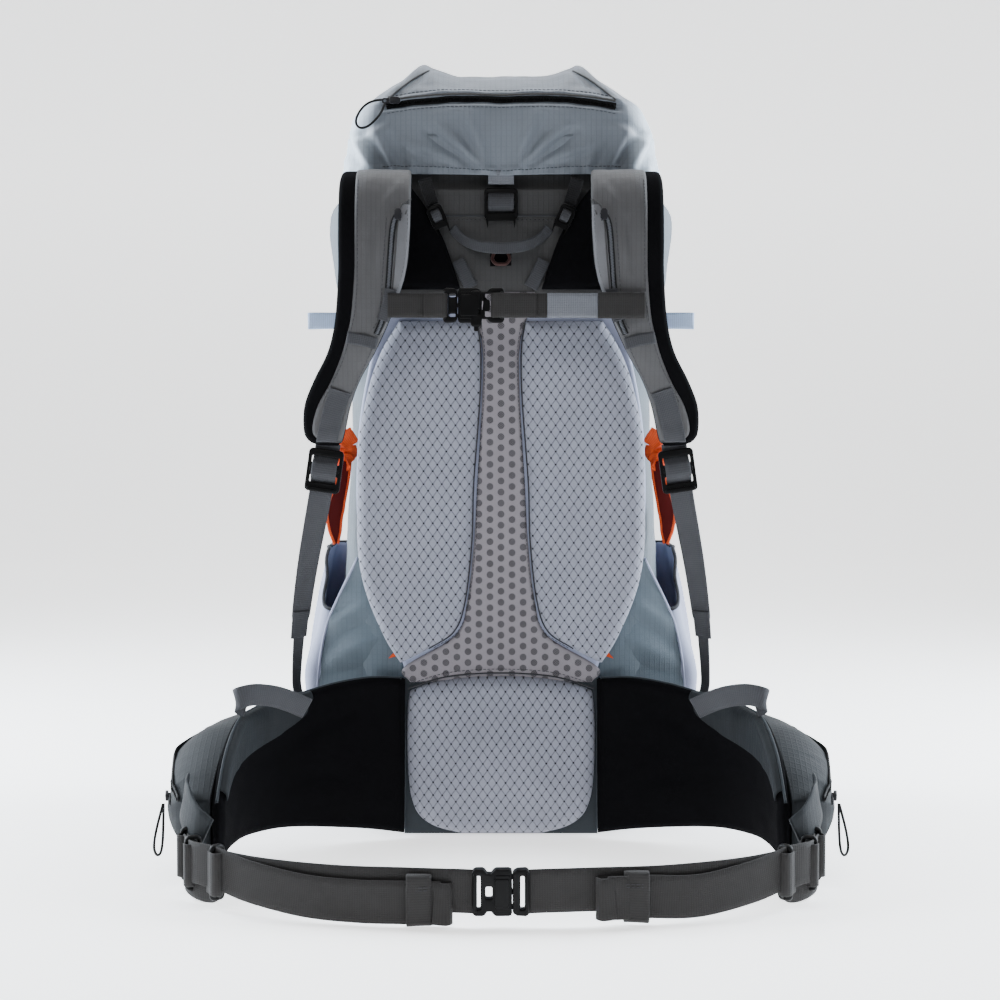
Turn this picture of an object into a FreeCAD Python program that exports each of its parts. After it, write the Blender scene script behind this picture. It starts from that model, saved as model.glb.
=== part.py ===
import FreeCAD, Part
import math
import os
import Sketcher
from FreeCAD import Placement, Rotation, Vector

# Trekking backpack. Millimetres, +Z up, origin at the centre of the base on the floor.
# The harness faces -Y and the bag lies between the back panel and +Y; +X is the right side
# as seen from in front of the harness.

doc = FreeCAD.newDocument("trekking_backpack")
sheet = doc.addObject("Spreadsheet::Sheet", "Sizes")
nodes = []

SIZES = {
    "lid_top": 770, "bag_rim": 645, "bag_front": 120, "fabric_wall": 3,
    "panel_thickness": 6, "pad_thickness": 17, "mesh_thickness": 4, "lumbar_thickness": 23,
    "stay_width": 20, "stay_thickness": 3, "stay_spacing": 110, "stay_length": 540,
    "sheet_width": 196, "sheet_length": 560, "sheet_thickness": 1.5, "sheet_slot": 24,
    "belt_webbing": 38, "strap_webbing": 25, "webbing_thickness": 2,
    "strap_pad_thickness": 12, "strap_face_thickness": 3, "wing_thickness": 14,
    "lock_width": 34, "lock_height": 42, "lock_thickness": 5, "lock_slot": 5,
    "small_lock_width": 16, "small_lock_height": 22, "tab_lock_width": 33, "tab_lock_height": 31,
    "belt_buckle_height": 39, "belt_buckle_thickness": 14, "belt_female_length": 33,
    "sternum_buckle_height": 33, "sternum_buckle_thickness": 10, "sternum_female_length": 44,
    "lid_buckle_height": 32, "lid_buckle_thickness": 10, "lid_female_length": 30,
    "slider_length": 11, "slider_width": 7, "slider_height": 5, "pull_cord": 2.4,
}
for row, (alias, value) in enumerate(SIZES.items(), start=1):
    sheet.set(f"A{row}", alias.replace("_", " "))
    sheet.set(f"B{row}", str(value))
    sheet.setAlias(f"B{row}", alias)
doc.recompute()

GAP = 0.3              # between layers that lie on each other
PANEL_GAP = 0.4        # between the bag and its padded back panel
HAIR = 0.02            # keeps a cut off a face it would otherwise lie in
BACK = -SIZES["bag_front"] - PANEL_GAP                  # rear of the padded back panel
PANEL_FACE = BACK - SIZES["panel_thickness"]            # its front, where the pads start


def size(alias):
    return float(sheet.get(alias))


def node(obj, name):
    """Names a finished sub-part; its label is also its file's name."""
    obj.Label = name
    nodes.append(obj)
    return obj


def feature(name, shape):
    obj = doc.addObject("Part::Feature", name)
    obj.Shape = shape
    return obj


# ---- outlines and extrusions -------------------------------------------------------------

PLANES = {
    "plan": (lambda u, v: Vector(u, v, 0), Vector(0, 0, 1)),
    "side": (lambda u, v: Vector(0, u, v), Vector(1, 0, 0)),
    "front": (lambda u, v: Vector(u, 0, v), Vector(0, 1, 0)),
}


def curve(points, plane):
    """A straight edge through two points, or a smooth one through more."""
    lift = PLANES[plane][0]
    vectors = [lift(u, v) for u, v in points]
    if len(vectors) == 2:
        return Part.LineSegment(vectors[0], vectors[1]).toShape()
    spline = Part.BSplineCurve()
    spline.interpolate(vectors)
    return spline.toShape()


def prism(name, plane, runs, low, high):
    """Extrudes a closed outline, given as runs of points that join end to end."""
    normal = PLANES[plane][1]
    wire = Part.Wire([curve(run, plane) for run in runs])
    profile = feature(name + "_outline", Part.Face(wire))
    profile.Placement = Placement(normal * low, Rotation())
    extrusion = doc.addObject("Part::Extrusion", name)
    extrusion.Base = profile
    extrusion.DirMode = "Custom"
    extrusion.Dir = normal
    extrusion.LengthFwd = high - low
    extrusion.Solid = True
    return extrusion


def ribbon_runs(points, inner, outer):
    """Outline of a strip along a centre line, from offset inner to offset outer on its left."""
    centre = Part.BSplineCurve()
    centre.interpolate([Vector(u, v, 0) for u, v in points])
    sides = ([], [])
    for number, (u, v) in enumerate(points):
        along = centre.tangent(centre.parameter(Vector(u, v, 0)))[0]
        for side, offsets in zip(sides, (inner, outer)):
            offset = offsets[number] if isinstance(offsets, (list, tuple)) else offsets
            side.append((u - along.y * offset, v + along.x * offset))
    near, far = sides
    return [near, [near[-1], far[-1]], far[::-1], [far[0], near[0]]]


def common(name, base, tool):
    obj = doc.addObject("Part::Common", name)
    obj.Base = base
    obj.Tool = tool
    return obj


def mirrored(source, name):
    obj = doc.addObject("Part::Mirroring", name)
    obj.Source = source
    obj.Normal = (1, 0, 0)
    return node(obj, name)


def both_sides(source, stem):
    """Keeps a left piece and makes its right twin."""
    node(source, stem + "_left")
    mirrored(source, stem + "_right")


def pair(source, name):
    """One node that holds a left piece and its right twin as two solids."""
    twin = doc.addObject("Part::Mirroring", name + "_twin")
    twin.Source = source
    twin.Normal = (1, 0, 0)
    group = doc.addObject("Part::Compound", name)
    group.Links = [source, twin]
    return node(group, name)


# ---- boxes, cuts and fuses ----------------------------------------------------------------

def box(name, sizes, centre=(0, 0, 0)):
    """A box about its centre; a size is a number or an expression on the sheet."""
    obj = doc.addObject("Part::Box", name)
    for prop, axis, extent, middle in zip(("Length", "Width", "Height"), "xyz", sizes, centre):
        obj.setExpression(prop, str(extent))
        obj.setExpression("Placement.Base." + axis, f"{middle} - ({extent}) / 2")
    return obj


def cut(name, base, tools):
    tool = tools[0]
    if len(tools) > 1:
        tool = doc.addObject("Part::MultiFuse", name + "_tools")
        tool.Shapes = tools
    obj = doc.addObject("Part::Cut", name)
    obj.Base = base
    obj.Tool = tool
    return obj


def fuse(name, shapes):
    obj = doc.addObject("Part::MultiFuse", name)
    obj.Shapes = shapes
    return obj


def frame_place(origin, along, face):
    """Placement that turns local X to along and local Y to face's direction."""
    x_axis = Vector(*along).normalize()
    z_axis = x_axis.cross(Vector(*face)).normalize()
    y_axis = z_axis.cross(x_axis)
    return Placement(Vector(*origin), Rotation(x_axis, y_axis, z_axis, "XYZ"))


# ---- lofts --------------------------------------------------------------------------------

def rounded_section(x0, x1, y0, y1, radius, z):
    """A rectangle with round corners, always with the same eight edges."""
    corners = [(x1, y0, -90), (x1, y1, 0), (x0, y1, 90), (x0, y0, 180)]
    arcs = []
    for x, y, start in corners:
        centre = Vector(x - math.copysign(radius, x - (x0 + x1) / 2),
                        y - math.copysign(radius, y - (y0 + y1) / 2), z)
        circle = Part.Circle(centre, Vector(0, 0, 1), radius)
        arcs.append(Part.Arc(circle, math.radians(start), math.radians(start + 90)))
    edges = []
    for number, arc in enumerate(arcs):
        edges.append(arc.toShape())
        following = arcs[(number + 1) % 4]
        edges.append(Part.LineSegment(arc.EndPoint, following.StartPoint).toShape())
    return Part.Wire(edges)


def loft(sections, inset=0.0):
    wires = []
    for z, x0, x1, y0, y1, radius in sections:
        narrowest = min(x1 - x0, y1 - y0) - 2 * inset
        corner = min(max(radius - inset, 2), 0.45 * narrowest)
        wires.append(rounded_section(x0 + inset, x1 - inset, y0 + inset, y1 - inset, corner, z))
    return Part.makeLoft(wires, True, False)


def symmetric(sections):
    return [(z, -half, half, y0, y1, radius) for z, half, y0, y1, radius in sections]


def strip(path, width, thickness):
    """A flat band through stations of (point, direction of the width, direction of the face)."""
    wires = []
    for point, across, face in path:
        side = Vector(*across).normalize() * (width / 2)
        depth = Vector(*face).normalize() * (thickness / 2)
        middle = Vector(*point)
        corners = [middle - side - depth, middle + side - depth,
                   middle + side + depth, middle - side + depth]
        wires.append(Part.makePolygon(corners + corners[:1]))
    return Part.makeLoft(wires, True, True)


def sewn(shell, axis, seams, levels):
    """Cuts a hollow shell into panels that meet at seams: along half planes out of a vertical
    axis, at angles in degrees, and at some heights. The lowest panel is the floor."""
    reach = 400
    floor = Part.makeBox(2 * reach, 2 * reach, levels[1] - levels[0], Vector(-reach, -reach, levels[0]))
    panels = shell.common(floor).Solids
    for low, high in zip(levels[1:], levels[2:]):
        for start, end in zip(seams, seams[1:] + [seams[0] + 360]):
            corners = [Vector(*axis, low)]
            for angle in (start, (start + end) / 2, end):
                turn = math.radians(angle)
                corners.append(corners[0] + Vector(math.cos(turn), math.sin(turn), 0) * reach)
            sector = Part.Face(Part.makePolygon(corners + corners[:1])).extrude(Vector(0, 0, high - low))
            panels += shell.common(sector).Solids
    return Part.makeCompound(panels)


# ---- the bag ------------------------------------------------------------------------------

BAG = symmetric([
    (0, 120, -98, 96, 40), (10, 138, -112, 110, 45), (40, 152, -119, 124, 50),
    (110, 158, -120, 130, 50), (190, 160, -120, 133, 52), (300, 151, -120, 134, 52),
    (450, 152, -120, 130, 52), (560, 166, -120, 126, 52), (620, 171, -120, 122, 50),
    (645, 158, -118, 118, 48),
])
COLLAR = symmetric([(645.3, 146, -117, 115, 44), (665, 144, -116, 114, 44), (692, 138, -112, 110, 44)])
LID = symmetric([
    (660, 157, -133, 141, 40), (690, 154, -136, 141, 40), (722, 142, -134, 130, 34),
    (745, 119, -120, 104, 32), (762, 97, -100, 74, 30), (770, 84, -84, 56, 28),
])


def pack_bag():
    wall = size("fabric_wall")
    rim = size("bag_rim")
    outer = loft(BAG)
    inner = loft([(z + (wall if z == 0 else 0), *rest) for z, *rest in BAG], wall)
    top = BAG[-1]
    mouth = loft([(rim - 1, *top[1:]), (rim + 5, *top[1:])], wall)
    shell = outer.cut(inner.fuse(mouth))
    middle = (0, 5)
    corner = (26, 39, 52)              # seams of one corner, in degrees; the other three repeat it
    seams = sorted(turn % 360 for angle in corner for turn in (angle, 180 - angle, 180 + angle, -angle))
    heights = (0, wall + HAIR, 40, 300, rim)
    node(feature("pack_bag", sewn(shell, middle, seams, heights)), "pack_bag")


def collar():
    wall = size("fabric_wall")
    outer = loft(COLLAR)
    inner = loft([(COLLAR[0][0] - 1, *COLLAR[0][1:]), *COLLAR[1:-1], (COLLAR[-1][0] + 1, *COLLAR[-1][1:])], wall)
    node(feature("collar", outer.cut(inner)), "collar")
    z, x0, x1, y0, y1, radius = COLLAR[-1]
    cord_radius = 1.5
    middle = wall / 2
    path = rounded_section(x0 + middle, x1 - middle, y0 + middle, y1 - middle,
                           radius - middle, z + cord_radius + HAIR)
    start = path.Edges[0].Curve.value(path.Edges[0].FirstParameter)
    start_tangent = path.Edges[0].tangentAt(path.Edges[0].FirstParameter)
    ring = Part.Wire(Part.Circle(start, start_tangent, cord_radius).toShape())
    node(feature("collar_drawcord", path.makePipeShell([ring], True, False)), "collar_drawcord")
    barrel = doc.addObject("Part::Cylinder", "cord_lock_barrel")
    barrel.Radius = 7
    barrel.Height = 18
    barrel.Placement = Placement(Vector(0, y1 - 14, z - 22), Rotation())
    button = doc.addObject("Part::Cylinder", "cord_lock_button")
    button.Radius = 4.5
    button.Height = 24
    button.Placement = Placement(Vector(0, y1 - 14, z - 22), Rotation())
    node(fuse("cord_lock", [barrel, button]), "cord_lock")


def rectangle_sketch(body, name, width, height, across=None, up=None):
    """A rectangle about its own origin; width, height and place are sheet expressions."""
    sketch = body.newObject("Sketcher::SketchObject", name)
    plane = next(part for part in body.Origin.OriginFeatures if part.Role == "XY_Plane")
    sketch.AttachmentSupport = [(plane, "")]
    sketch.MapMode = "FlatFace"
    corners = [Vector(-10, -10, 0), Vector(10, -10, 0), Vector(10, 10, 0), Vector(-10, 10, 0)]
    for number in range(4):
        sketch.addGeometry(Part.LineSegment(corners[number], corners[(number + 1) % 4]), False)
    for number in range(4):
        sketch.addConstraint(Sketcher.Constraint("Coincident", number, 2, (number + 1) % 4, 1))
    for number in (0, 2):
        sketch.addConstraint(Sketcher.Constraint("Horizontal", number))
    for number in (1, 3):
        sketch.addConstraint(Sketcher.Constraint("Vertical", number))
    sketch.addConstraint(Sketcher.Constraint("Symmetric", 0, 1, 1, 2, -1, 1))
    for title, kind, edge, expression in (("width", "DistanceX", 0, width), ("height", "DistanceY", 1, height)):
        index = sketch.addConstraint(Sketcher.Constraint(kind, edge, 1, edge, 2, 20.0))
        sketch.renameConstraint(index, title)
        sketch.setExpression("Constraints." + title, expression)
    if across:
        sketch.setExpression("AttachmentOffset.Base.x", across)
    if up:
        sketch.setExpression("AttachmentOffset.Base.y", up)
    return sketch


def pad(body, sketch, length):
    feat = body.newObject("PartDesign::Pad", sketch.Name + "_pad")
    feat.Profile = sketch
    feat.setExpression("Length", length)
    doc.recompute()
    return feat


def pocket(body, sketch):
    """Cuts through the whole body, on both sides of its sketch."""
    before = body.Shape.Volume
    feat = body.newObject("PartDesign::Pocket", sketch.Name + "_pocket")
    feat.Profile = sketch
    feat.Type = "ThroughAll"
    feat.Midplane = True
    doc.recompute()
    if not feat.Shape.Volume < before:
        raise RuntimeError(sketch.Name + " cuts nothing")
    return feat


def round_edges(body, feat, radius, wanted):
    """Fillets the edges of a feature that a test picks."""
    fillet = body.newObject("PartDesign::Fillet", feat.Name + "_round")
    fillet.Base = (feat, ["Edge%d" % number for number, edge in enumerate(feat.Shape.Edges, 1) if wanted(edge)])
    fillet.Radius = radius
    doc.recompute()
    return fillet


def upright(edge):
    box_ = edge.BoundBox
    return box_.ZLength > 0.9 and box_.XLength < 0.01 and box_.YLength < 0.01


SHEET_FACE = -SIZES["bag_front"] + 6.6             # face of the plastic sheet towards the bag's inside
STAY_MIDDLE = SHEET_FACE + 0.5 + SIZES["stay_thickness"] / 2
STIFFENER_HEIGHT = 330                             # middle of the sheet and the stays


def frame_sheet():
    body = doc.addObject("PartDesign::Body", "frame_sheet")
    plate = pad(body, rectangle_sketch(body, "sheet_outline", "Sizes.sheet_width", "Sizes.sheet_length"),
                "Sizes.sheet_thickness")
    round_edges(body, plate, 30, upright)
    slot = pocket(body, rectangle_sketch(body, "sheet_opening", "Sizes.sheet_slot * 2", "Sizes.sheet_slot",
                                         None, "-Sizes.sheet_length * 0.36"))
    pattern = body.newObject("PartDesign::LinearPattern", "sheet_openings")
    pattern.Originals = [slot]
    pattern.Direction = (slot.Profile[0], ["V_Axis"])
    pattern.setExpression("Length", "Sizes.sheet_length * 0.72")
    pattern.Occurrences = 6
    body.Tip = pattern
    doc.recompute()
    # it stands just inside the harness wall of the bag, in front of the stays
    body.Placement = frame_place((0, SHEET_FACE, STIFFENER_HEIGHT), (1, 0, 0), (0, 0, 1))
    node(body, "frame_sheet")


def frame_stays():
    stay = box("stay_blank", ("Sizes.stay_width", "Sizes.stay_thickness", "Sizes.stay_length"),
               ("-Sizes.stay_spacing / 2", STAY_MIDDLE, STIFFENER_HEIGHT))
    pair(stay, "frame_stays")


def layer(name, runs, thickness):
    """A flat padded layer in front of the back panel."""
    return prism(name, "front", runs, PANEL_FACE - GAP - thickness, PANEL_FACE - GAP)


def back_system():
    edge = [(-96, 3), (-96, 164)]
    flank = [(-96, 164), (-113, 205), (-141, 290), (-143, 395), (-130, 478), (-112, 530), (-97, 560)]
    top = [(-97, 560), (-97, 641)]
    left = [edge, flank, top]
    right = [[(-u, v) for u, v in run[::-1]] for run in left[::-1]]
    runs = left + [[(-97, 641), (97, 641)]] + right + [[(96, 3), (-96, 3)]]
    node(prism("back_panel", "front", runs, PANEL_FACE, BACK), "back_panel")

    outer = [(-101, 516), (-118, 488), (-131, 452), (-141, 400), (-143, 290), (-135, 246), (-116, 200), (-101, 176)]
    inner = [(-47, 206), (-36, 236), (-29, 296), (-27, 356), (-21, 436), (-21, 486), (-24, 516)]
    tip = [(-101, 176), (-47, 206)]
    pad_left = layer("back_pad_blank", [outer, tip, inner, [(-24, 516), (-101, 516)]], size("pad_thickness"))
    both_sides(pad_left, "back_pad")

    side = [(-21, 545), (-18, 480), (-24, 350), (-27, 296), (-34, 236), (-45, 203)]
    flare = [(-45, 203), (-98, 171)]
    waist = [(-98, 171), (-93, 155)]
    left = [side, flare, waist]
    right = [[(-u, v) for u, v in run[::-1]] for run in left[::-1]]
    base = [(-93, 155), (-60, 164), (0, 170), (60, 164), (93, 155)]
    runs = [side, flare, waist, base] + right + [[(21, 545), (-21, 545)]]
    node(layer("center_mesh", runs, size("mesh_thickness")), "center_mesh")

    arch = [(-92, 149), (-60, 158), (0, 163), (60, 158), (92, 149)]
    foot = [(80, 20), (55, 7), (0, 4), (-55, 7), (-80, 20)]
    corner = [(94, 55), (90, 34), (80, 20)]
    runs = [arch, [(92, 149), (94, 55)], corner, foot, [(-u, v) for u, v in corner[::-1]], [(-94, 55), (-92, 149)]]
    node(layer("lumbar_pad", runs, size("lumbar_thickness")), "lumbar_pad")


# ---- side pockets, tabs and trims -----------------------------------------------------------

def side_trims():
    wall = 2.5
    pouch = [(50, -178, -158, -88, 40, 8), (100, -193, -161, -92, 52, 12), (156, -201, -163, -95, 58, 14),
             (205, -196, -163, -95, 58, 13), (284, -181, -159, -94, 56, 9)]
    floor_top, rim = 56, pouch[-1][0]
    hollow = [(floor_top, *pouch[0][1:]), *pouch[1:-1], (rim + 2, *pouch[-1][1:])]
    shell = loft(pouch).cut(loft(hollow, wall))
    middle = (-170, -18)
    seams = [-116, -102, -95, -84, 84, 95, 102, 116]         # degrees, close together at the narrow ends
    panels = sewn(shell, middle, seams, (pouch[0][0], floor_top, 156, rim))
    pair(feature("side_pocket_blank", panels), "side_pockets")

    # webbing loops that stand out from the sides below the arms' height
    loop = box("tab_outer", (32, 3, 17), (-178, -96, 518))
    eye = box("tab_eye", (18, 8, 9), (-181, -96, 518))
    pair(cut("tab_blank", loop, [eye]), "compression_tabs")

    fold = box("accent_fold", (14, 12, 28), (-160, -100, 389))
    flap = strip([((-157, -101, 372), (0, 1, 0), (1, 0, 0)), ((-166, -99, 335), (0, 1, 0), (1, 0, 0)),
                  ((-171, -97, 292), (0, 1, 0), (1, 0, 0))], 20, 3)
    both = fuse("accent_blank", [fold, feature("accent_flap", flap)])
    pair(both, "accent_straps")


# ---- shoulder harness -----------------------------------------------------------------------

APEX = (-150, 659)      # Y and Z of the fold over the shoulder, and of the strap's swing axis


def shoulder_strap():
    half = size("strap_pad_thickness") / 2
    face = size("strap_face_thickness")
    # side view of the front run: up from the webbing, over a soft belly, back to the fold
    run = [(-173, 396), (-177, 420), (-185, 470), (-190, 530), (-190, 585), (-185, 625), (-172, 646),
           (APEX[0] - 0.3, APEX[1] - half - 4)]
    outer = [(-156, 662), (-156, 560), (-158, 520), (-163, 494), (-168, 479), (-180, 456), (-190, 432), (-191, 407)]
    tip = [(-191, 407), (-184, 399), (-170, 395), (-153, 394)]
    inner = [(-153, 394), (-144, 436), (-125, 475), (-113, 499), (-93, 547), (-87, 587), (-86, 662)]
    face_outer = [(-140, 662), (-140, 560), (-142, 525), (-147, 498), (-156, 470), (-168, 446), (-180, 425), (-184, 399.5)]
    face_tip = [(-184, 399.5), (-170, 396), (-154, 395)]
    face_inner = [(-154, 395), (-145, 437), (-126, 476), (-114, 500), (-94, 548), (-88, 588), (-87, 662)]
    pad_side = prism("strap_pad_side", "side", ribbon_runs(run, -half, half), -200, -80)
    pad_front = prism("strap_pad_front", "front", [outer, tip, inner, [(-86, 662), (-156, 662)]], -220, -140)
    both_sides(common("shoulder_pad_blank", pad_side, pad_front), "shoulder_pad")
    face_side = prism("strap_face_side", "side", ribbon_runs(run, half + 0.2, half + 0.2 + face), -200, -80)
    face_front = prism("strap_face_front", "front",
                       [face_outer, face_tip, face_inner, [(-87, 662), (-140, 662)]], -220, -140)
    both_sides(common("shoulder_face_blank", face_side, face_front), "shoulder_face")

    rear = [(APEX[0] + 0.3, APEX[1] - half - 4), (-140, 642), (-134, 615), (-132.5, 575), (-132.5, 545)]
    yoke_side = prism("yoke_side", "side", ribbon_runs(rear, -4, 4), -200, -30)
    outline = [[(-155, 662), (-155, 640), (-130, 590), (-98, 546)], [(-98, 546), (-50, 546)],
               [(-50, 546), (-66, 600), (-90, 640), (-92, 662)], [(-92, 662), (-155, 662)]]
    yoke_front = prism("yoke_front", "front", outline, -160, -120)
    pair(common("yoke_blank", yoke_side, yoke_front), "shoulder_yokes")


def ladder_lock(name, width, height, place):
    """A webbing adjuster: a plate with two slots and a bar between them."""
    body = doc.addObject("PartDesign::Body", name)
    plate = pad(body, rectangle_sketch(body, name + "_outline", width, height), "Sizes.lock_thickness")
    round_edges(body, plate, 3, upright)
    rails = 7                        # both side rails together
    slot_height = f"({height}) * 0.2"
    for title, spot in (("upper", 0.24), ("lower", -0.2)):
        pocket(body, rectangle_sketch(body, f"{name}_{title}_slot", f"{width} - {rails}", slot_height,
                                      None, f"({height}) * {spot}"))
    body.Placement = place
    return node(body, name)


def facing(origin, lean, tip=0.0):
    """Placement of a plate in the XZ plane that faces -Y, leaned sideways and tipped back."""
    turn = Rotation(Vector(0, 1, 0), lean) * Rotation(Vector(1, 0, 0), 90 + tip)
    return Placement(Vector(*origin), turn)


def harness_hardware():
    for side, sign in (("left", -1), ("right", 1)):
        ladder_lock("shoulder_lock_" + side, "Sizes.lock_width", "Sizes.lock_height",
                    facing((sign * 171.5, -172, 369), -sign * 8))
        ladder_lock("lifter_lock_" + side, "Sizes.small_lock_width", "Sizes.small_lock_height",
                    facing((sign * 63, -137.5, 618), sign * 24))
    ladder_lock("lid_tab_lock", "Sizes.tab_lock_width", "Sizes.tab_lock_height", facing((0, -129, 631), 0))

    webbing = size("webbing_thickness")
    adjuster = strip([((-175, -171, 346), (1, 0, 0.12), (0, 1, -0.3)), ((-188, -151, 283), (1, 0.1, 0.15), (0, 1, -0.3)),
                      ((-198, -132, 225), (0.8, 0.6, 0.2), (-0.6, 0.8, -0.2)),
                      ((-207, -108, 152), (0.3, 0.95, 0.3), (-1, 0.3, 0))], size("strap_webbing") - 3, webbing)
    both_sides(feature("adjuster_blank", adjuster), "adjuster_webbing")

    lifter = strip([((-42, -131, 574), (0.9, 0, 0.3), (0, 1, 0)), ((-53, -132.5, 600), (0.9, 0, 0.4), (0, 1, 0))],
                   12, 1.6)
    upper = strip([((-68, -134, 632), (0.9, 0, 0.4), (0, 1, 0)), ((-75, -145, 655), (0.9, 0, 0.4), (0, 1, 0.4))],
                  12, 1.6)
    pair(feature("lifter_blank", Part.makeCompound([lifter, upper])), "load_lifter_webbing")

    tab = box("tab_webbing", ("Sizes.strap_webbing", 2, 9), (0, -131.2, 654.5))
    node(tab, "lid_tab_webbing")


def haul_loop():
    """A hanging webbing handle, sewn at both ends and standing off the panel in the middle."""
    spots = [(-43, -129, 603), (-36, -132, 598), (-20, -146, 590), (0, -150, 587),
             (20, -146, 590), (36, -132, 598), (43, -129, 603)]
    stations = []
    for number, spot in enumerate(spots):
        before = Vector(*spots[max(number - 1, 0)])
        after = Vector(*spots[min(number + 1, len(spots) - 1)])
        face = (after - before).cross(Vector(0, 0, 1))
        stations.append((spot, (0, 0, 1), tuple(face)))
    node(feature("haul_loop", strip(stations, 11, 2)), "haul_loop")


# ---- buckles ---------------------------------------------------------------------------------

# shares of a socket's length, from its mouth
CAVITY_DEPTH = 0.62
WINDOW_LENGTH = 0.3
WINDOW_PLACE = 0.42
SLOT_PLACE = 0.83
PRONG_REACH = 0.5                 # of the plug's guide and its side levers

FACES = 4                         # both faces of a socket together
EDGES = 6                         # both edges of a socket together
PLUG_PLAY = 2.5                   # both gaps between a plug and a socket's faces together
WEBBING_SLOT = 4                  # the slot that takes webbing; its ends are solid
SLOT_ENDS = 8


def female_half(name, length, height, thick, place):
    """Local X points out of the mouth at X = 0; the cavity is open at the mouth and the sides."""
    shell = box(name + "_shell", (length, thick, height), (f"-({length}) / 2", 0, 0))
    cavity = box(name + "_cavity", (f"({length}) * {CAVITY_DEPTH} + 2", f"({thick}) - {FACES}", f"({height}) - {EDGES}"),
                 (f"-({length}) * {CAVITY_DEPTH / 2} + 1", 0, 0))
    windows = box(name + "_windows", (f"({length}) * {WINDOW_LENGTH}", f"({thick}) - {FACES}", f"({height}) + 2"),
                  (f"-({length}) * {WINDOW_PLACE}", 0, 0))
    slot = box(name + "_slot", (WEBBING_SLOT, f"({thick}) + 2", f"({height}) - {SLOT_ENDS}"),
               (f"-({length}) * {SLOT_PLACE}", 0, 0))
    body = cut(name, shell, [cavity, windows, slot])
    body.Placement = place
    return body


MALE_BASE = 14                    # length of a plug's base outside the mouth
MALE_START = 0.4                  # clearance between the mouth and that base
MALE_END = MALE_START + MALE_BASE
MALE_SLOT = 9.5                   # middle of the slot in that base
GUIDE_HEIGHT = 5
LEVER_HEIGHT = 4
LEVER_INSET = 7                   # from a plug's edge to the middle of its side lever
BARB = (6, 5)                     # length and height of the barb on a side lever
BARB_INSET = 6.5


def male_half(name, length, height, thick, place, prongs=True):
    """Local X points away from the mouth; its base starts just outside it and prongs reach into X < 0."""
    reach = f"({length}) * {PRONG_REACH} + 2"
    half_way = f"-({length}) * {PRONG_REACH / 2} + 1"
    flat = f"({thick}) - {FACES + PLUG_PLAY}"
    pieces = [box(name + "_base", (MALE_BASE, thick, height), (MALE_START + MALE_BASE / 2, 0, 0)),
              box(name + "_guide", (reach, flat, GUIDE_HEIGHT), (half_way, 0, 0))]
    if prongs:
        for sign in (-1, 1):
            pieces.append(box(f"{name}_prong_{sign + 1}", (reach, flat, LEVER_HEIGHT),
                              (half_way, 0, f"{sign} * (({height}) / 2 - {LEVER_INSET})")))
    slot = box(name + "_bar_slot", (WEBBING_SLOT, f"({thick}) + 2", f"({height}) - {SLOT_ENDS}"), (MALE_SLOT, 0, 0))
    body = cut(name, fuse(name + "_solid", pieces), [slot])
    body.Placement = place
    return body


def prong(name, length, height, thick, sign, place):
    """A side lever of the belt buckle, hinged at its root beside the guide."""
    flat = f"({thick}) - {FACES + PLUG_PLAY}"
    arm = box(name + "_arm", (f"({length}) * {PRONG_REACH}", flat, LEVER_HEIGHT),
              (f"-({length}) * {PRONG_REACH / 2}", 0, f"{sign} * (({height}) / 2 - {LEVER_INSET})"))
    barb = box(name + "_barb", (BARB[0], flat, BARB[1]),
               (f"-({length}) * {WINDOW_PLACE}", 0, f"{sign} * (({height}) / 2 - {BARB_INSET})"))
    body = fuse(name, [arm, barb])
    body.Placement = place
    return node(body, name)


STERNUM_MOUTH = (-41, -204, 527)  # mouth of the sternum buckle, which faces -X
STERNUM_REACH = (108, 137)        # how far the webbing goes to the left and to the right
BELT_MOUTH = (9, -457.5, 29.7)    # mouth of the belt buckle


def sternum_strap():
    webbing = size("webbing_thickness")
    x, y, z = STERNUM_MOUTH
    dims = ("Sizes.sternum_female_length", "Sizes.sternum_buckle_height", "Sizes.sternum_buckle_thickness")
    place = Placement(Vector(x, y, z), Rotation(Vector(0, 0, 1), 180))
    node(female_half("sternum_buckle_female", *dims, place), "sternum_buckle_female")
    node(male_half("sternum_buckle_male", *dims, place), "sternum_buckle_male")
    # the webbing starts just behind each half, on the side that faces the pack
    runs = [("left", -STERNUM_REACH[0], x - MALE_END - GAP),
            ("right", x + size("sternum_female_length") + GAP, STERNUM_REACH[1])]
    for side, start, end in runs:
        strap = box("sternum_webbing_" + side, (end - start, webbing, "Sizes.strap_webbing - 4"),
                    ((start + end) / 2, y + webbing, z))
        node(strap, "sternum_webbing_" + side)


def belt_buckle():
    dims = ("Sizes.belt_female_length", "Sizes.belt_buckle_height", "Sizes.belt_buckle_thickness")
    place = Placement(Vector(*BELT_MOUTH), Rotation())
    node(female_half("belt_buckle_female", *dims, place), "belt_buckle_female")
    node(male_half("belt_buckle_male", *dims, place, prongs=False), "belt_buckle_male")
    prong("belt_prong_upper", *dims, 1, place)
    prong("belt_prong_lower", *dims, -1, place)


# ---- hip belt ---------------------------------------------------------------------------------

WING = [(-97, -131), (-165, -150), (-218, -192), (-246, -250), (-257, -318)]


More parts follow.
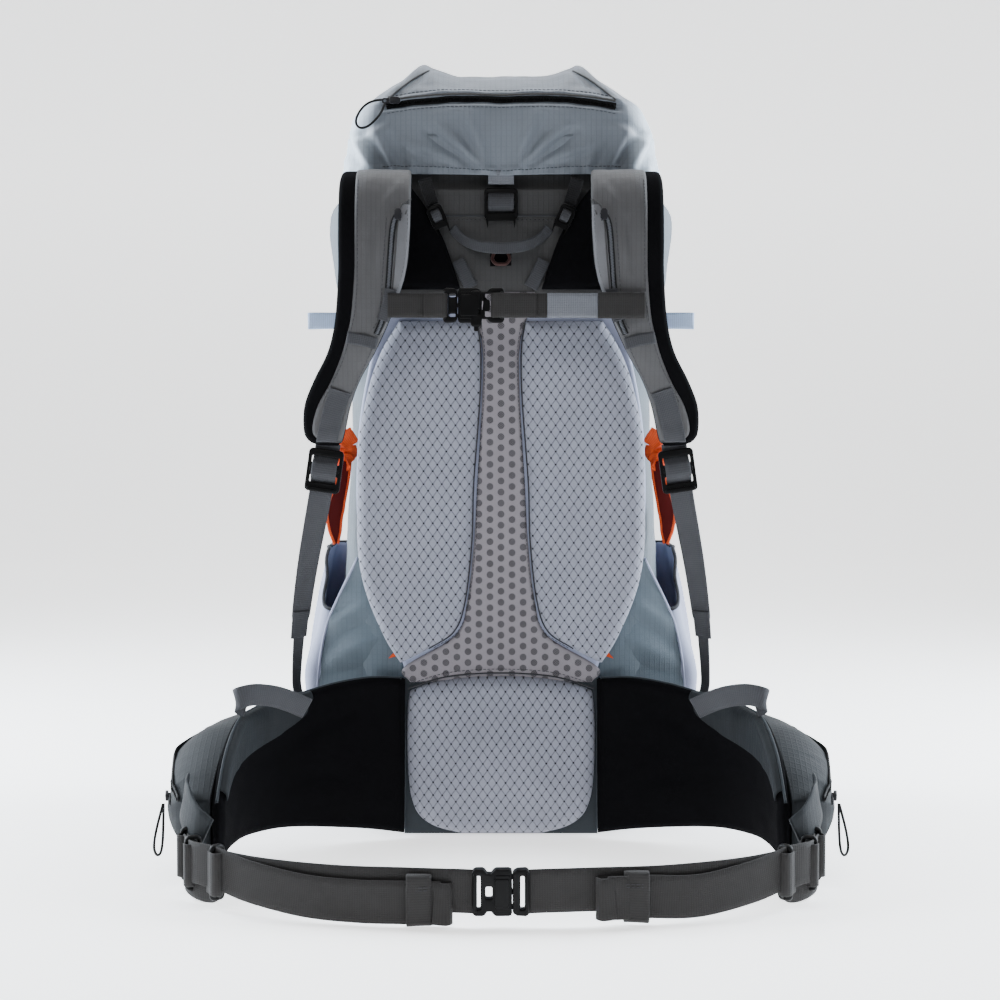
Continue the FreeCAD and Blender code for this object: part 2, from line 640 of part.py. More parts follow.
def hip_wing():
    half = size("wing_thickness") / 2
    plan = prism("wing_plan", "plan", ribbon_runs(WING, -half, half), 0.2, 170)
    top = [(-123, 160), (-137, 161), (-152, 166), (-170, 163), (-205, 155), (-250, 143), (-288, 112), (-322, 66)]
    bottom = [(-322, 20), (-290, 24), (-250, 26), (-205, 25), (-160, 18), (-123, 4)]
    outline = prism("wing_outline", "side", [top, [(-322, 66), (-322, 20)], bottom, [(-123, 4), (-123, 160)]], -320, -90)
    both_sides(common("hip_wing_blank", plan, outline), "hip_wing")

    # a zipped pocket on the outside of the wing, fattest over the hip bone
    path = [(-180, -158.2), (-218, -192), (-246, -250), (-257, -316)]
    runs = ribbon_runs(path, [-8, -8, -8, -8], [-14, -42, -56, -38])
    plan = prism("pocket_plan", "plan", runs, 0.2, 170)
    top = [(-130, 146), (-170, 152), (-205, 148), (-250, 134), (-285, 106), (-318, 72)]
    bottom = [(-318, 24), (-285, 30), (-250, 33), (-205, 33), (-130, 33)]
    outline = prism("pocket_outline", "side", [top, [(-318, 72), (-318, 24)], bottom, [(-130, 33), (-130, 146)]],
                    -330, -90)
    both_sides(common("hip_pocket_blank", plan, outline), "hip_pocket")


BELT_PATH = [(-273, -320), (-277, -345), (-262, -380), (-211, -419), (-140, -444), (-75, -455), (-26, -457.5)]


def belt_webbing():
    half = size("webbing_thickness") / 2
    plan = prism("belt_plan", "plan", ribbon_runs(BELT_PATH, -half, half), 0.2, 60)
    top = [(-285, 54), (-262, 52), (-211, 46), (-140, 40), (-75, 42.5), (-25, 48)]
    bottom = [(-25, 11), (-75, 4.5), (-140, 2), (-211, 8), (-262, 14), (-285, 16)]
    outline = prism("belt_outline", "front", [top, [(-25, 48), (-25, 11)], bottom, [(-285, 16), (-285, 54)]], -470, -315)
    outer = common("belt_webbing_blank", plan, outline)
    both_sides(outer, "belt_webbing")

    loops = []
    places = [((-277, -343, 34), (0.05, -1, 0)), ((-268.5, -372, 33), (0.42, -0.9, 0)),
              ((-244, -397.5, 31), (0.76, -0.65, 0))]
    for number, (spot, along) in enumerate(places):
        ring = box(f"slide_ring_{number}", (6, 15, 49))
        window = box(f"slide_window_{number}", (10, 7, 41))
        frame = cut(f"slide_{number}", ring, [window])
        frame.Placement = frame_place(spot, along, (along[1], -along[0], 0))
        loops.append(frame)
    pair(fuse("belt_slides_blank", loops), "belt_slides")

    ring = box("keeper_ring", (24, 9.6, 46), (-81, -454.1, 23.2))
    window = box("keeper_window", (30, 6.6, 42.5), (-81, -454.1, 23.2))
    keeper = cut("keeper_blank", ring, [window])
    pair(keeper, "belt_keepers")


# ---- lid ----------------------------------------------------------------------------------------

def lid():
    wall = size("fabric_wall")
    outer = loft(LID)
    inner = loft([(LID[0][0] - 1, *LID[0][1:]), *LID[1:-1], (LID[-1][0] - wall, *LID[-1][1:])], wall)
    node(feature("lid_shell", outer.cut(inner)), "lid_shell")
    lining = loft([(699, -143, 143, -129, 132, 34), (701, -143, 143, -129, 132, 34)])
    node(feature("lid_lining", lining), "lid_lining")

    tape = [(-112, -128.6), (-106, -131), (-97, -132.7), (-84, -133), (0, -133), (84, -133), (97, -132.7),
            (106, -131), (112, -128.6)]
    node(prism("lid_zip", "plan", ribbon_runs(tape, -3.1, -1.5), 728, 736), "lid_zip")

    # two straps close the lid over the far side; each hangs in line with the lid's swing
    strap = strip([((-90, 143.4, 672), (1, 0, 0), (0, 1, 0)), ((-90, 147.5, 662), (1, 0, 0), (0, 1, -0.2)),
                   ((-90, 154.3, 631), (1, 0, 0), (0, 1, 0.2))], size("strap_webbing") - 5, size("webbing_thickness"))
    pair(feature("lid_strap_blank", strap), "lid_straps")
    lower = strip([((-90, 144.6, 585), (1, 0, 0), (0, 1, -0.2)), ((-90, 136.5, 548), (1, 0, 0), (0, 1, -0.1)),
                   ((-90, 136.6, 430), (1, 0, 0), (0, 1, 0))], size("strap_webbing") - 5, size("webbing_thickness"))
    pair(feature("lid_strap_lower_blank", lower), "lid_anchor_straps")
    dims = ("Sizes.lid_female_length", "Sizes.lid_buckle_height", "Sizes.lid_buckle_thickness")
    place = frame_place((-90, 151.6, 615.5), (0, 0.217, 0.976), (0, 0.976, -0.217))
    pair(female_half("lid_female_blank", *dims, place), "lid_buckle_females")
    pair(male_half("lid_male_blank", *dims, place), "lid_buckle_males")


# ---- zip sliders and pull cords --------------------------------------------------------------------

def slider(name, place, tab=10):
    """A zip slider: a low bridge with a flat pull tab beside it."""
    base = box(name + "_base", ("Sizes.slider_length", "Sizes.slider_height - 2", "Sizes.slider_width"))
    bridge = box(name + "_bridge", ("Sizes.slider_length * 0.5", "Sizes.slider_height", "Sizes.slider_width * 0.5"),
                 (0, "-Sizes.slider_height * 0.4", 0))
    puller = box(name + "_pull", (tab, 2.6, 6), (-tab * 0.75, "-Sizes.slider_height * 0.6", 0))
    body = fuse(name, [base, bridge, puller])
    body.Placement = place
    return node(body, name)


def pull_cord(name, points, diameter):
    """A thin cord tube: straight runs joined by tangent arcs as large as the runs allow."""
    spots = [Vector(*point) for point in points]
    edges = []
    start = spots[0]
    radii = []
    for before, corner, after in zip(spots, spots[1:], spots[2:]):
        back = before - corner
        ahead = after - corner
        reach = 0.45 * min(back.Length, ahead.Length)
        turn = math.pi - back.getAngle(ahead)
        radii.append(reach / math.tan(turn / 2))
        enter = corner + back.normalize() * reach
        leave = corner + ahead.normalize() * reach
        bisector = (back + ahead).normalize()
        centre = corner + bisector * (radii[-1] / math.cos(turn / 2))
        middle = centre - bisector * radii[-1]
        edges.append(Part.LineSegment(start, enter).toShape())
        edges.append(Part.Arc(enter, middle, leave).toShape())
        start = leave
    edges.append(Part.LineSegment(start, spots[-1]).toShape())
    path = Part.Wire(edges)
    ring = Part.Wire(Part.Circle(spots[0], spots[1] - spots[0], diameter / 2).toShape())
    tube = path.makePipeShell([ring], True, False)
    expected = math.pi * diameter ** 2 / 4 * path.Length
    print(f"{name}: length {path.Length:.1f}, least radius {min(radii):.1f}, volume {tube.Volume / expected:.3f}")
    return feature(name, tube)


LID_PULL = [(-116.6, -141, 731.5), (-124, -141, 731), (-133, -141, 727), (-140, -141, 718.5),
            (-143, -141, 709.5), (-139, -141, 703.5), (-131, -141, 705), (-124, -141, 711),
            (-117, -141, 719), (-113.5, -141, 728.4)]
HIP_PULL = [(-305, -314.5, 72.6), (-306.5, -319, 65), (-308.5, -324, 55), (-310, -329, 45), (-310.5, -331.5, 35.5),
            (-308.5, -328, 28.5), (-306.3, -321.5, 28.5), (-305.5, -316.5, 35), (-305.3, -313.5, 45),
            (-305.3, -311.5, 56), (-305.5, -308.7, 71.8)]


def zip_pulls():
    slider("lid_zip_slider", Placement(Vector(-104, -138, 731.5), Rotation()))
    node(pull_cord("lid_pull_cord", LID_PULL, size("pull_cord")), "lid_pull_cord")
    for side, sign in (("left", -1), ("right", 1)):
        place = frame_place((sign * 98, -199.6, 614), (0, 0.05, 1), (0, 1, -0.05))
        slider("strap_zip_slider_" + side, place, tab=8)
        place = frame_place((sign * 303.4, -303, 78), (sign * 0.12, 0.9, 0.42), (-sign, 0, 0))
        slider("hip_zip_slider_" + side, place)
    left = pull_cord("hip_pull_blank", HIP_PULL, size("pull_cord"))
    both_sides(left, "hip_pull_cord")


pack_bag()
collar()
frame_sheet()
frame_stays()
back_system()
side_trims()
shoulder_strap()
harness_hardware()
haul_loop()
sternum_strap()
hip_wing()
belt_webbing()
belt_buckle()
lid()
zip_pulls()
doc.recompute()

for obj in doc.Objects:
    if "Invalid" in obj.State or "Error" in obj.State:
        raise RuntimeError(f"{obj.Name} did not rebuild: {obj.State}")
for obj in nodes:
    if obj.Shape.isNull() or not obj.Shape.isValid() or obj.Shape.Volume <= 0:
        raise RuntimeError(f"{obj.Label} has no valid solid")

os.makedirs("parts", exist_ok=True)
for obj in nodes:
    obj.Shape.exportStep(f"parts/{obj.Label}.step")
whole = Part.makeCompound([obj.Shape for obj in nodes]).BoundBox
print(f"{len(nodes)} nodes, {whole.XLength:.0f} x {whole.YLength:.0f} x {whole.ZLength:.0f} mm")
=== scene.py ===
import math

import bmesh
import bpy
import numpy as np
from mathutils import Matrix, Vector, noise
from mathutils.bvhtree import BVHTree


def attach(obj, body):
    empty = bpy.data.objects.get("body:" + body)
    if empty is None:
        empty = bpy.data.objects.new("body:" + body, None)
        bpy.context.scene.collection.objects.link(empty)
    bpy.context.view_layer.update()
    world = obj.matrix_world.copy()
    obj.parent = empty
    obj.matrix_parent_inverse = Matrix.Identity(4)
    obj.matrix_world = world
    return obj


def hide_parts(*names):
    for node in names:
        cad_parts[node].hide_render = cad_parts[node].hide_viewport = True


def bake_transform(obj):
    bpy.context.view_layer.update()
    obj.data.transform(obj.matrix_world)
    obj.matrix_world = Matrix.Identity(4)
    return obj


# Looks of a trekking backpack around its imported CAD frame. Lengths are metres; MM turns the
# millimetres that outlines are written in into metres.

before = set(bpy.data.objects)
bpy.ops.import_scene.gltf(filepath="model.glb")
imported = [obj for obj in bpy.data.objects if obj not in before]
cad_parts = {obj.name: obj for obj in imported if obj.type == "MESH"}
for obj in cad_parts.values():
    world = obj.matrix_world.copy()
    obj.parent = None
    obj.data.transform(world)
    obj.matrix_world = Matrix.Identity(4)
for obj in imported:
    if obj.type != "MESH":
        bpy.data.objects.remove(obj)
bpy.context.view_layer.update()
MM = 0.001
SIDES = (("left", -1), ("right", 1))


# ---- camera, light and stage ---------------------------------------------------------------------

FOCAL_LENGTH, SENSOR = 66.8, 36
CAMERA_PLACE = (-0.001, -1.974, 0.4223)
CAMERA_DIP = 2.6  # degrees below level
FAR_LIMIT = 20

# name, place, target, width, height, power and colour of each light; the rims stand at both sides
PACK_MIDDLE = (0, 0, 0.42)
LIGHTS = (("key", (-0.9, -2.6, 1.9), PACK_MIDDLE, 1.6, 1.2, 24, (1, 0.99, 0.97)),
          ("fill", (1.2, -2.4, 1.0), PACK_MIDDLE, 1.4, 1.4, 7, (0.95, 0.97, 1)),
          ("top", (0, 0.2, 2.3), (0, 0, 0.7), 1.2, 0.8, 34, (1, 1, 1)),
          ("rim_left", (-1.5, 0.3, 1.0), PACK_MIDDLE, 0.8, 1.7, 95, (0.84, 0.92, 1)),
          ("rim_right", (1.5, 0.3, 1.0), PACK_MIDDLE, 0.8, 1.7, 95, (0.84, 0.92, 1)))
SKY = (0.95, 0.97, 1.0, 1)
SKY_STRENGTH = 0.2

# the floor ends in a bend up to the backdrop
FLOOR_FRONT, BEND_START, BEND_RADIUS, BACKDROP_HEIGHT, STAGE_HALF = -1.3, 3.0, 1.2, 5, 7
FLOOR_GAP = 0.0005
FLOOR_GREY, FLOOR_GLOW = 0.93, 1.3


def camera():
    data = bpy.data.cameras.new("camera")
    data.lens = FOCAL_LENGTH
    data.sensor_width = SENSOR
    data.clip_end = FAR_LIMIT
    obj = bpy.data.objects.new("camera", data)
    bpy.context.scene.collection.objects.link(obj)
    obj.location = CAMERA_PLACE
    obj.rotation_euler = (math.radians(90 - CAMERA_DIP), 0, 0)
    bpy.context.scene.camera = obj


def area_light(name, place, target, width, height, power, colour):
    data = bpy.data.lights.new(name, "AREA")
    data.shape = "RECTANGLE"
    data.size = width
    data.size_y = height
    data.energy = power
    data.color = colour
    obj = bpy.data.objects.new(name, data)
    bpy.context.scene.collection.objects.link(obj)
    obj.location = place
    obj.rotation_euler = (Vector(target) - Vector(place)).to_track_quat("-Z", "Y").to_euler()


def studio():
    world = bpy.data.worlds.new("studio")
    bpy.context.scene.world = world
    world.use_nodes = True
    background = world.node_tree.nodes["Background"]
    background.inputs["Color"].default_value = SKY
    background.inputs["Strength"].default_value = SKY_STRENGTH
    for light in LIGHTS:
        area_light(*light)


def stage():
    """A pale floor that curves up into a backdrop far behind."""
    bend = [(math.sin(a) * BEND_RADIUS + BEND_START, BEND_RADIUS - math.cos(a) * BEND_RADIUS)
            for a in np.linspace(0, math.pi / 2, 12)]
    profile = [(FLOOR_FRONT, 0)] + bend + [(BEND_START + BEND_RADIUS, BACKDROP_HEIGHT)]
    rows = [[(x, y, z - FLOOR_GAP) for y, z in profile] for x in (-STAGE_HALF, STAGE_HALF)]
    floor = mesh_object("floor", *grid_mesh(np.array(rows)))
    floor.data.materials.append(plain_material("floor", (FLOOR_GREY,) * 3, 0.9, FLOOR_GLOW))


# ---- mesh building -------------------------------------------------------------------------------

def mesh_object(name, points, faces, material=None, smooth=True):
    """A mesh from points in metres."""
    mesh = bpy.data.meshes.new(name)
    mesh.from_pydata([tuple(p) for p in np.asarray(points, float).reshape(-1, 3)], [], faces)
    mesh.validate()
    bm = bmesh.new()
    bm.from_mesh(mesh)
    bmesh.ops.recalc_face_normals(bm, faces=bm.faces)
    bm.to_mesh(mesh)
    bm.free()
    if smooth:
        mesh.polygons.foreach_set("use_smooth", [True] * len(mesh.polygons))
    mesh.update()
    obj = bpy.data.objects.new(name, mesh)
    bpy.context.scene.collection.objects.link(obj)
    if material:
        mesh.materials.append(material)
    return obj


def grid_faces(rows, cols, start=0, wrap=False, flip=False):
    faces = []
    for i in range(rows - 1):
        for j in range(cols if wrap else cols - 1):
            k = (j + 1) % cols
            a, b = start + i * cols + j, start + i * cols + k
            c, d = start + (i + 1) * cols + k, start + (i + 1) * cols + j
            faces.append((a, d, c, b) if flip else (a, b, c, d))
    return faces


def grid_mesh(points):
    rows, cols = points.shape[:2]
    return points.reshape(-1, 3), grid_faces(rows, cols)


def closed_sheet(front, back):
    """Closes two grids of the same size into one skin. The front's outward side is the way that its
    rows x columns point."""
    rows, cols = front.shape[:2]
    count = rows * cols
    faces = grid_faces(rows, cols) + grid_faces(rows, cols, count, flip=True)
    rim = [(0, j) for j in range(cols)] + [(i, cols - 1) for i in range(1, rows)]
    rim += [(rows - 1, j) for j in range(cols - 2, -1, -1)] + [(i, 0) for i in range(rows - 2, 0, -1)]
    ring = [i * cols + j for i, j in rim]
    for number, a in enumerate(ring):
        b = ring[(number + 1) % len(ring)]
        faces.append((b, a, a + count, b + count))
    return np.concatenate([front.reshape(-1, 3), back.reshape(-1, 3)]), faces


def tube_mesh(rings, caps=True):
    """A skin through closed rings of equal length."""
    rows, cols = rings.shape[:2]
    faces = grid_faces(rows, cols, wrap=True)
    if caps:
        faces.append(tuple(range(cols))[::-1])
        faces.append(tuple((rows - 1) * cols + j for j in range(cols)))
    return rings.reshape(-1, 3), faces


def joined(parts):
    points, faces, start = [], [], 0
    for some_points, some_faces in parts:
        points.append(np.asarray(some_points, float).reshape(-1, 3))
        faces += [tuple(start + index for index in face) for face in some_faces]
        start += len(points[-1])
    return np.concatenate(points), faces


def through(points, count):
    """Evenly spread points on a smooth line through the given ones (Catmull-Rom)."""
    points = np.asarray(points, float)
    if len(points) == 2:
        t = np.linspace(0, 1, count)[:, None]
        return points[0] * (1 - t) + points[1] * t
    ends = np.vstack([2 * points[0] - points[1], points, 2 * points[-1] - points[-2]])
    dense = []
    for p0, p1, p2, p3 in zip(ends, ends[1:], ends[2:], ends[3:]):
        t = np.linspace(0, 1, 24, endpoint=False)[:, None]
        dense.append(0.5 * (2 * p1 + (p2 - p0) * t + (2 * p0 - 5 * p1 + 4 * p2 - p3) * t ** 2
                            + (3 * p1 - p0 - 3 * p2 + p3) * t ** 3))
    dense = np.vstack(dense + [points[-1:]])
    run = np.concatenate([[0], np.cumsum(np.linalg.norm(np.diff(dense, axis=0), axis=1))])
    at = np.linspace(0, run[-1], count)
    return np.stack([np.interp(at, run, dense[:, k]) for k in range(points.shape[1])], axis=1)


def line_through(points, count):
    """A smooth line through points given in millimetres."""
    return through(np.array(points) * MM, count)


def width_at(edge, heights):
    """The edge's x at each height; the edge is a list of (x, z) with z rising or falling."""
    line = through(edge, 200)
    if line[0, 1] > line[-1, 1]:
        line = line[::-1]
    return np.interp(heights, line[:, 1], line[:, 0])


def noise_at(points, scale, seed=0.0):
    """Smooth noise from -1 to 1 at each point; scale is its wavelength in metres."""
    flat = points.reshape(-1, 3) / scale + seed
    values = np.array([noise.noise(Vector(p)) for p in flat])
    return values.reshape(points.shape[:-1])


def crease(points, start, end, width, height):
    """Height of a soft fold that runs from start to end, both (x, z), and fades at both ends."""
    flat = points[..., (0, 2)]
    a, b = np.array(start, float) * MM, np.array(end, float) * MM
    along = b - a
    t = np.clip(((flat - a) @ along) / (along @ along), 0, 1)
    distance = np.linalg.norm(flat - (a + t[..., None] * along), axis=-1)
    fade = np.sin(np.pi * (0.12 + 0.76 * t)) ** 0.8
    return height * MM * fade * np.exp(-(distance / (width * MM)) ** 2)


def smooth_step(value, low, high):
    t = np.clip((value - low) / (high - low), 0, 1)
    return t * t * (3 - 2 * t)


def roll_over(distance, radius):
    """From 0 at an edge to 1 at the given radius inside it, round like a quarter circle."""
    return np.sqrt(1 - (1 - np.clip(distance / (radius * MM), 0, 1)) ** 2)


def finish_piece(obj, body, replaced=()):
    """Says what a piece follows and the CAD nodes it replaces."""
    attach(obj, body)
    if replaced:
        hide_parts(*replaced)
    return obj


# ---- materials -----------------------------------------------------------------------------------

# a whole number of repeats and a half, so that places stay positive
FAR_FROM_ZERO = 1000.5


class Shader:
    """A small builder for procedural node materials."""

    def __init__(self, name):
        self.material = bpy.data.materials.new(name)
        self.material.use_nodes = True
        self.tree = self.material.node_tree
        self.bsdf = self.tree.nodes["Principled BSDF"]

    def node(self, kind, **settings):
        made = self.tree.nodes.new(kind)
        for key, value in settings.items():
            setattr(made, key, value)
        return made

    def put(self, socket, value):
        if isinstance(value, bpy.types.NodeSocket):
            self.tree.links.new(value, socket)
        else:
            socket.default_value = value

    def math(self, operation, a, b=0.0, clamp=False):
        made = self.node("ShaderNodeMath", operation=operation, use_clamp=clamp)
        self.put(made.inputs[0], a)
        self.put(made.inputs[1], b)
        return made.outputs[0]

    def add(self, a, b):
        return self.math("ADD", a, b)

    def minus(self, a, b, clamp=False):
        return self.math("SUBTRACT", a, b, clamp)

    def times(self, a, b):
        return self.math("MULTIPLY", a, b)

    def over(self, a, b, clamp=False):
        return self.math("DIVIDE", a, b, clamp)

    def larger(self, a, b):
        return self.math("MAXIMUM", a, b)

    def length(self, a, b):
        return self.math("SQRT", self.add(self.times(a, a), self.times(b, b)))

    def lattice(self, x, z, across, down, width):
        """Thin lines that cross in diamonds, and the two slanting places they're measured by."""
        a = self.add(self.over(x, across), self.over(z, down))
        b = self.minus(self.over(x, across), self.over(z, down))
        return self.larger(self.near_multiple(a, 1.0, width), self.near_multiple(b, 1.0, width)), (a, b)

    def place(self, on_strip=False):
        """X, Y and Z of the surface in metres, or the place across and along a webbing strip."""
        split = self.node("ShaderNodeSeparateXYZ")
        if on_strip:
            made = self.node("ShaderNodeAttribute", attribute_name="lie")
            self.tree.links.new(made.outputs["Vector"], split.inputs[0])
        else:
            made = self.node("ShaderNodeTexCoord")
            self.tree.links.new(made.outputs["Object"], split.inputs[0])
        return split.outputs[0], split.outputs[1], split.outputs[2]

    def facing(self):
        """How much the surface's normal lies along X, Y and Z."""
        made = self.node("ShaderNodeNewGeometry")
        split = self.node("ShaderNodeSeparateXYZ")
        self.tree.links.new(made.outputs["Normal"], split.inputs[0])
        return [self.math("ABSOLUTE", out) for out in split.outputs]

    def noise(self, scale, detail):
        coords = self.node("ShaderNodeTexCoord")
        made = self.node("ShaderNodeTexNoise")
        self.tree.links.new(coords.outputs["Object"], made.inputs["Vector"])
        made.inputs["Scale"].default_value = scale
        made.inputs["Detail"].default_value = detail
        made.inputs["Roughness"].default_value = 0.6
        return made.outputs[0]

    def threads_and_clouds(self, fine, broad, share=0.5):
        """Fine and broad noise, and a mix of them in which the broad one has the given share."""
        threads, clouds = self.noise(fine, 2), self.noise(broad, 3)
        return threads, clouds, self.add(self.times(clouds, share), self.times(threads, 1 - share))

    def in_cell(self, value):
        """Place from -0.5 to 0.5 within a repeat of length 1, with a whole number at the middle."""
        return self.minus(self.math("FRACT", self.add(value, FAR_FROM_ZERO)), 0.5)

    def near_multiple(self, value, pitch, width):
        """1 on thin lines at every multiple of pitch, else 0, with soft edges."""
        off = self.math("ABSOLUTE", self.in_cell(self.over(value, pitch)))
        return self.minus(1.0, self.over(off, width / pitch), clamp=True)

    def mix(self, factor, a, b):
        made = self.node("ShaderNodeMix", data_type="RGBA")
        self.put(made.inputs[0], factor)
        self.put(made.inputs[6], a)
        self.put(made.inputs[7], b)
        return made.outputs[2]

    def finish(self, colour, roughness, bump=None, strength=0.3, distance=0.001, sheen=0.0, shine=0.25):
        self.put(self.bsdf.inputs["Base Color"], colour)
        self.put(self.bsdf.inputs["Roughness"], roughness)
        self.bsdf.inputs["Specular IOR Level"].default_value = shine
        self.bsdf.inputs["Sheen Weight"].default_value = sheen
        self.bsdf.inputs["Sheen Roughness"].default_value = 0.5
        if bump is not None:
            made = self.node("ShaderNodeBump")
            made.inputs["Strength"].default_value = strength
            made.inputs["Distance"].default_value = distance
            self.tree.links.new(bump, made.inputs["Height"])
            self.tree.links.new(made.outputs[0], self.bsdf.inputs["Normal"])
        return self.material


def linear(red, green, blue):
    """A colour given as 0-255 screen values."""
    def one(value):
        value /= 255
        return value / 12.92 if value <= 0.04045 else ((value + 0.055) / 1.055) ** 2.4
    return (one(red), one(green), one(blue), 1)


def shade(colour, factor):
    return tuple(min(1, channel * factor) for channel in colour[:3]) + (1,)


def plain_material(name, colour, roughness, glow):
    made = Shader(name)
    made.bsdf.inputs["Emission Color"].default_value = (1, 1, 1, 1)
    made.bsdf.inputs["Emission Strength"].default_value = glow
    return made.finish((*colour, 1), roughness)


def ripstop(name, colour, contrast=0.22, sheen=0.05, rough=0.5, pitch=0.0052, ends=None, shine=0.25):
    """Woven cloth with a grid of thicker threads, whichever way the surface faces. Its left and right
    ends can be paler: a painted highlight that stands in for rim light on the sides."""
    made = Shader(name)
    x, y, z = made.place()
    nx, ny, nz = made.facing()
    grid = None
    for value, along, weight in ((x, nx, 1.0), (y, ny, 1.0), (z, nz, 0.4)):
        line = made.near_multiple(value, pitch, 0.0009)
        seen = made.times(line, made.minus(weight, made.math("POWER", along, 3.0), clamp=True))
        grid = seen if grid is None else made.larger(grid, seen)
    threads, clouds, tone = made.threads_and_clouds(1500, 14)
    base = made.mix(tone, shade(colour, 0.78), shade(colour, 1.22))
    # painted highlight: the cloth turns paler towards the left and right ends, where rim light falls
    if ends:
        across = made.minus(made.math("ABSOLUTE", x), 0.124)
        base = made.mix(made.over(across, 0.018, clamp=True), base, ends)
    colour_out = made.mix(made.times(grid, contrast), base, shade(colour, 0.45))
    height = made.add(made.times(grid, 0.8), threads)
    roughness = made.add(made.times(clouds, 0.2), rough - 0.1)
    return made.finish(colour_out, roughness, height, 0.3, 0.0006, sheen=sheen, shine=shine)


def plain_weave(name, colour, sheen=0.05, roughness=0.75, depth=0.25, shine=0.2):
    made = Shader(name)
    threads, _, tone = made.threads_and_clouds(1300, 20)
    base = made.mix(tone, shade(colour, 0.7), shade(colour, 1.3))
    return made.finish(base, roughness, threads, depth, 0.0006, sheen=sheen, shine=shine)


# the radius of a hole in metres, and of a patch of holes in column widths
HOLE_RADIUS = 0.0010
PATCH_RADIUS = 0.31


def air_mesh(name, colour, across=0.0090, down=0.0129):
    """Knitted diamonds: thin dark lines with a hole at each crossing."""
    made = Shader(name)
    x, _, z = made.place()
    lines, slants = made.lattice(x, z, across, down, 0.1)
    off = [made.in_cell(value) for value in slants]
    dx = made.times(made.add(*off), across / 2)
    dz = made.times(made.minus(*off), down / 2)
    dots = made.math("LESS_THAN", made.length(dx, dz), HOLE_RADIUS)
    threads, _, tone = made.threads_and_clouds(1700, 25, 0.4)
    base = made.mix(tone, shade(colour, 0.8), shade(colour, 1.2))
    lined = made.mix(made.times(lines, 0.55), base, shade(colour, 0.3))
    holed = made.mix(made.times(dots, 0.92), lined, (0.012, 0.012, 0.014, 1))
    height = made.minus(made.times(threads, 0.3), made.add(lines, dots))
    return made.finish(holed, 0.8, height, 0.6, 0.0008, sheen=0.1, shine=0.15)


def channel_knit(name, colour, pitch=0.011):
    """Spacer mesh with round patches of tiny holes in staggered columns."""
    made = Shader(name)
    x, _, z = made.place()
    column = made.math("FLOOR", made.add(made.over(x, pitch), 100.5))
    odd = made.math("MODULO", column, 2.0)
    u = made.minus(made.math("FRACT", made.add(made.over(x, pitch), 100.5)), 0.5)
    shifted = made.add(made.over(z, pitch), made.times(odd, 0.5))
    v = made.minus(made.math("FRACT", shifted), 0.5)
    spot = made.math("LESS_THAN", made.length(u, v), PATCH_RADIUS)
    hatch, _ = made.lattice(x, z, 0.0016, 0.0022, 0.2)
    holes = made.times(spot, made.minus(1.0, made.times(hatch, 0.8)))
    threads = made.noise(1500, 2)
    base = made.mix(threads, shade(colour, 0.75), shade(colour, 1.2))
    out = made.mix(made.times(holes, 0.9), base, (0.03, 0.03, 0.033, 1))
    height = made.minus(made.times(threads, 0.4), holes)
    return made.finish(out, 0.85, height, 0.6, 0.0008, sheen=0.1, shine=0.15)


def webbing_cloth(name, colour, rib=0.0021):
    """Ribbed tape, woven across and along the strip it is on."""
    made = Shader(name)
    u, v, _ = made.place(on_strip=True)
    ribs = made.near_multiple(v, rib, 0.0008)
    weave = made.near_multiple(u, 0.0016, 0.0006)
    threads, _, tone = made.threads_and_clouds(1500, 60)
    base = made.mix(tone, shade(colour, 0.75), shade(colour, 1.25))
    out = made.mix(made.times(ribs, 0.35), base, shade(colour, 0.5))
    height = made.add(made.times(made.add(ribs, weave), -0.5), threads)
    return made.finish(out, 0.72, height, 0.45, 0.0006, sheen=0.05, shine=0.15)


def moulded(name, colour, roughness=0.38):
    made = Shader(name)
    grain = made.noise(900, 2)
    wear = made.noise(40, 4)
    tone = made.mix(wear, shade(colour, 0.85), shade(colour, 1.25))
    rough = made.add(made.times(wear, 0.18), roughness - 0.09)
    return made.finish(tone, rough, grain, 0.12, 0.0003, shine=0.10)


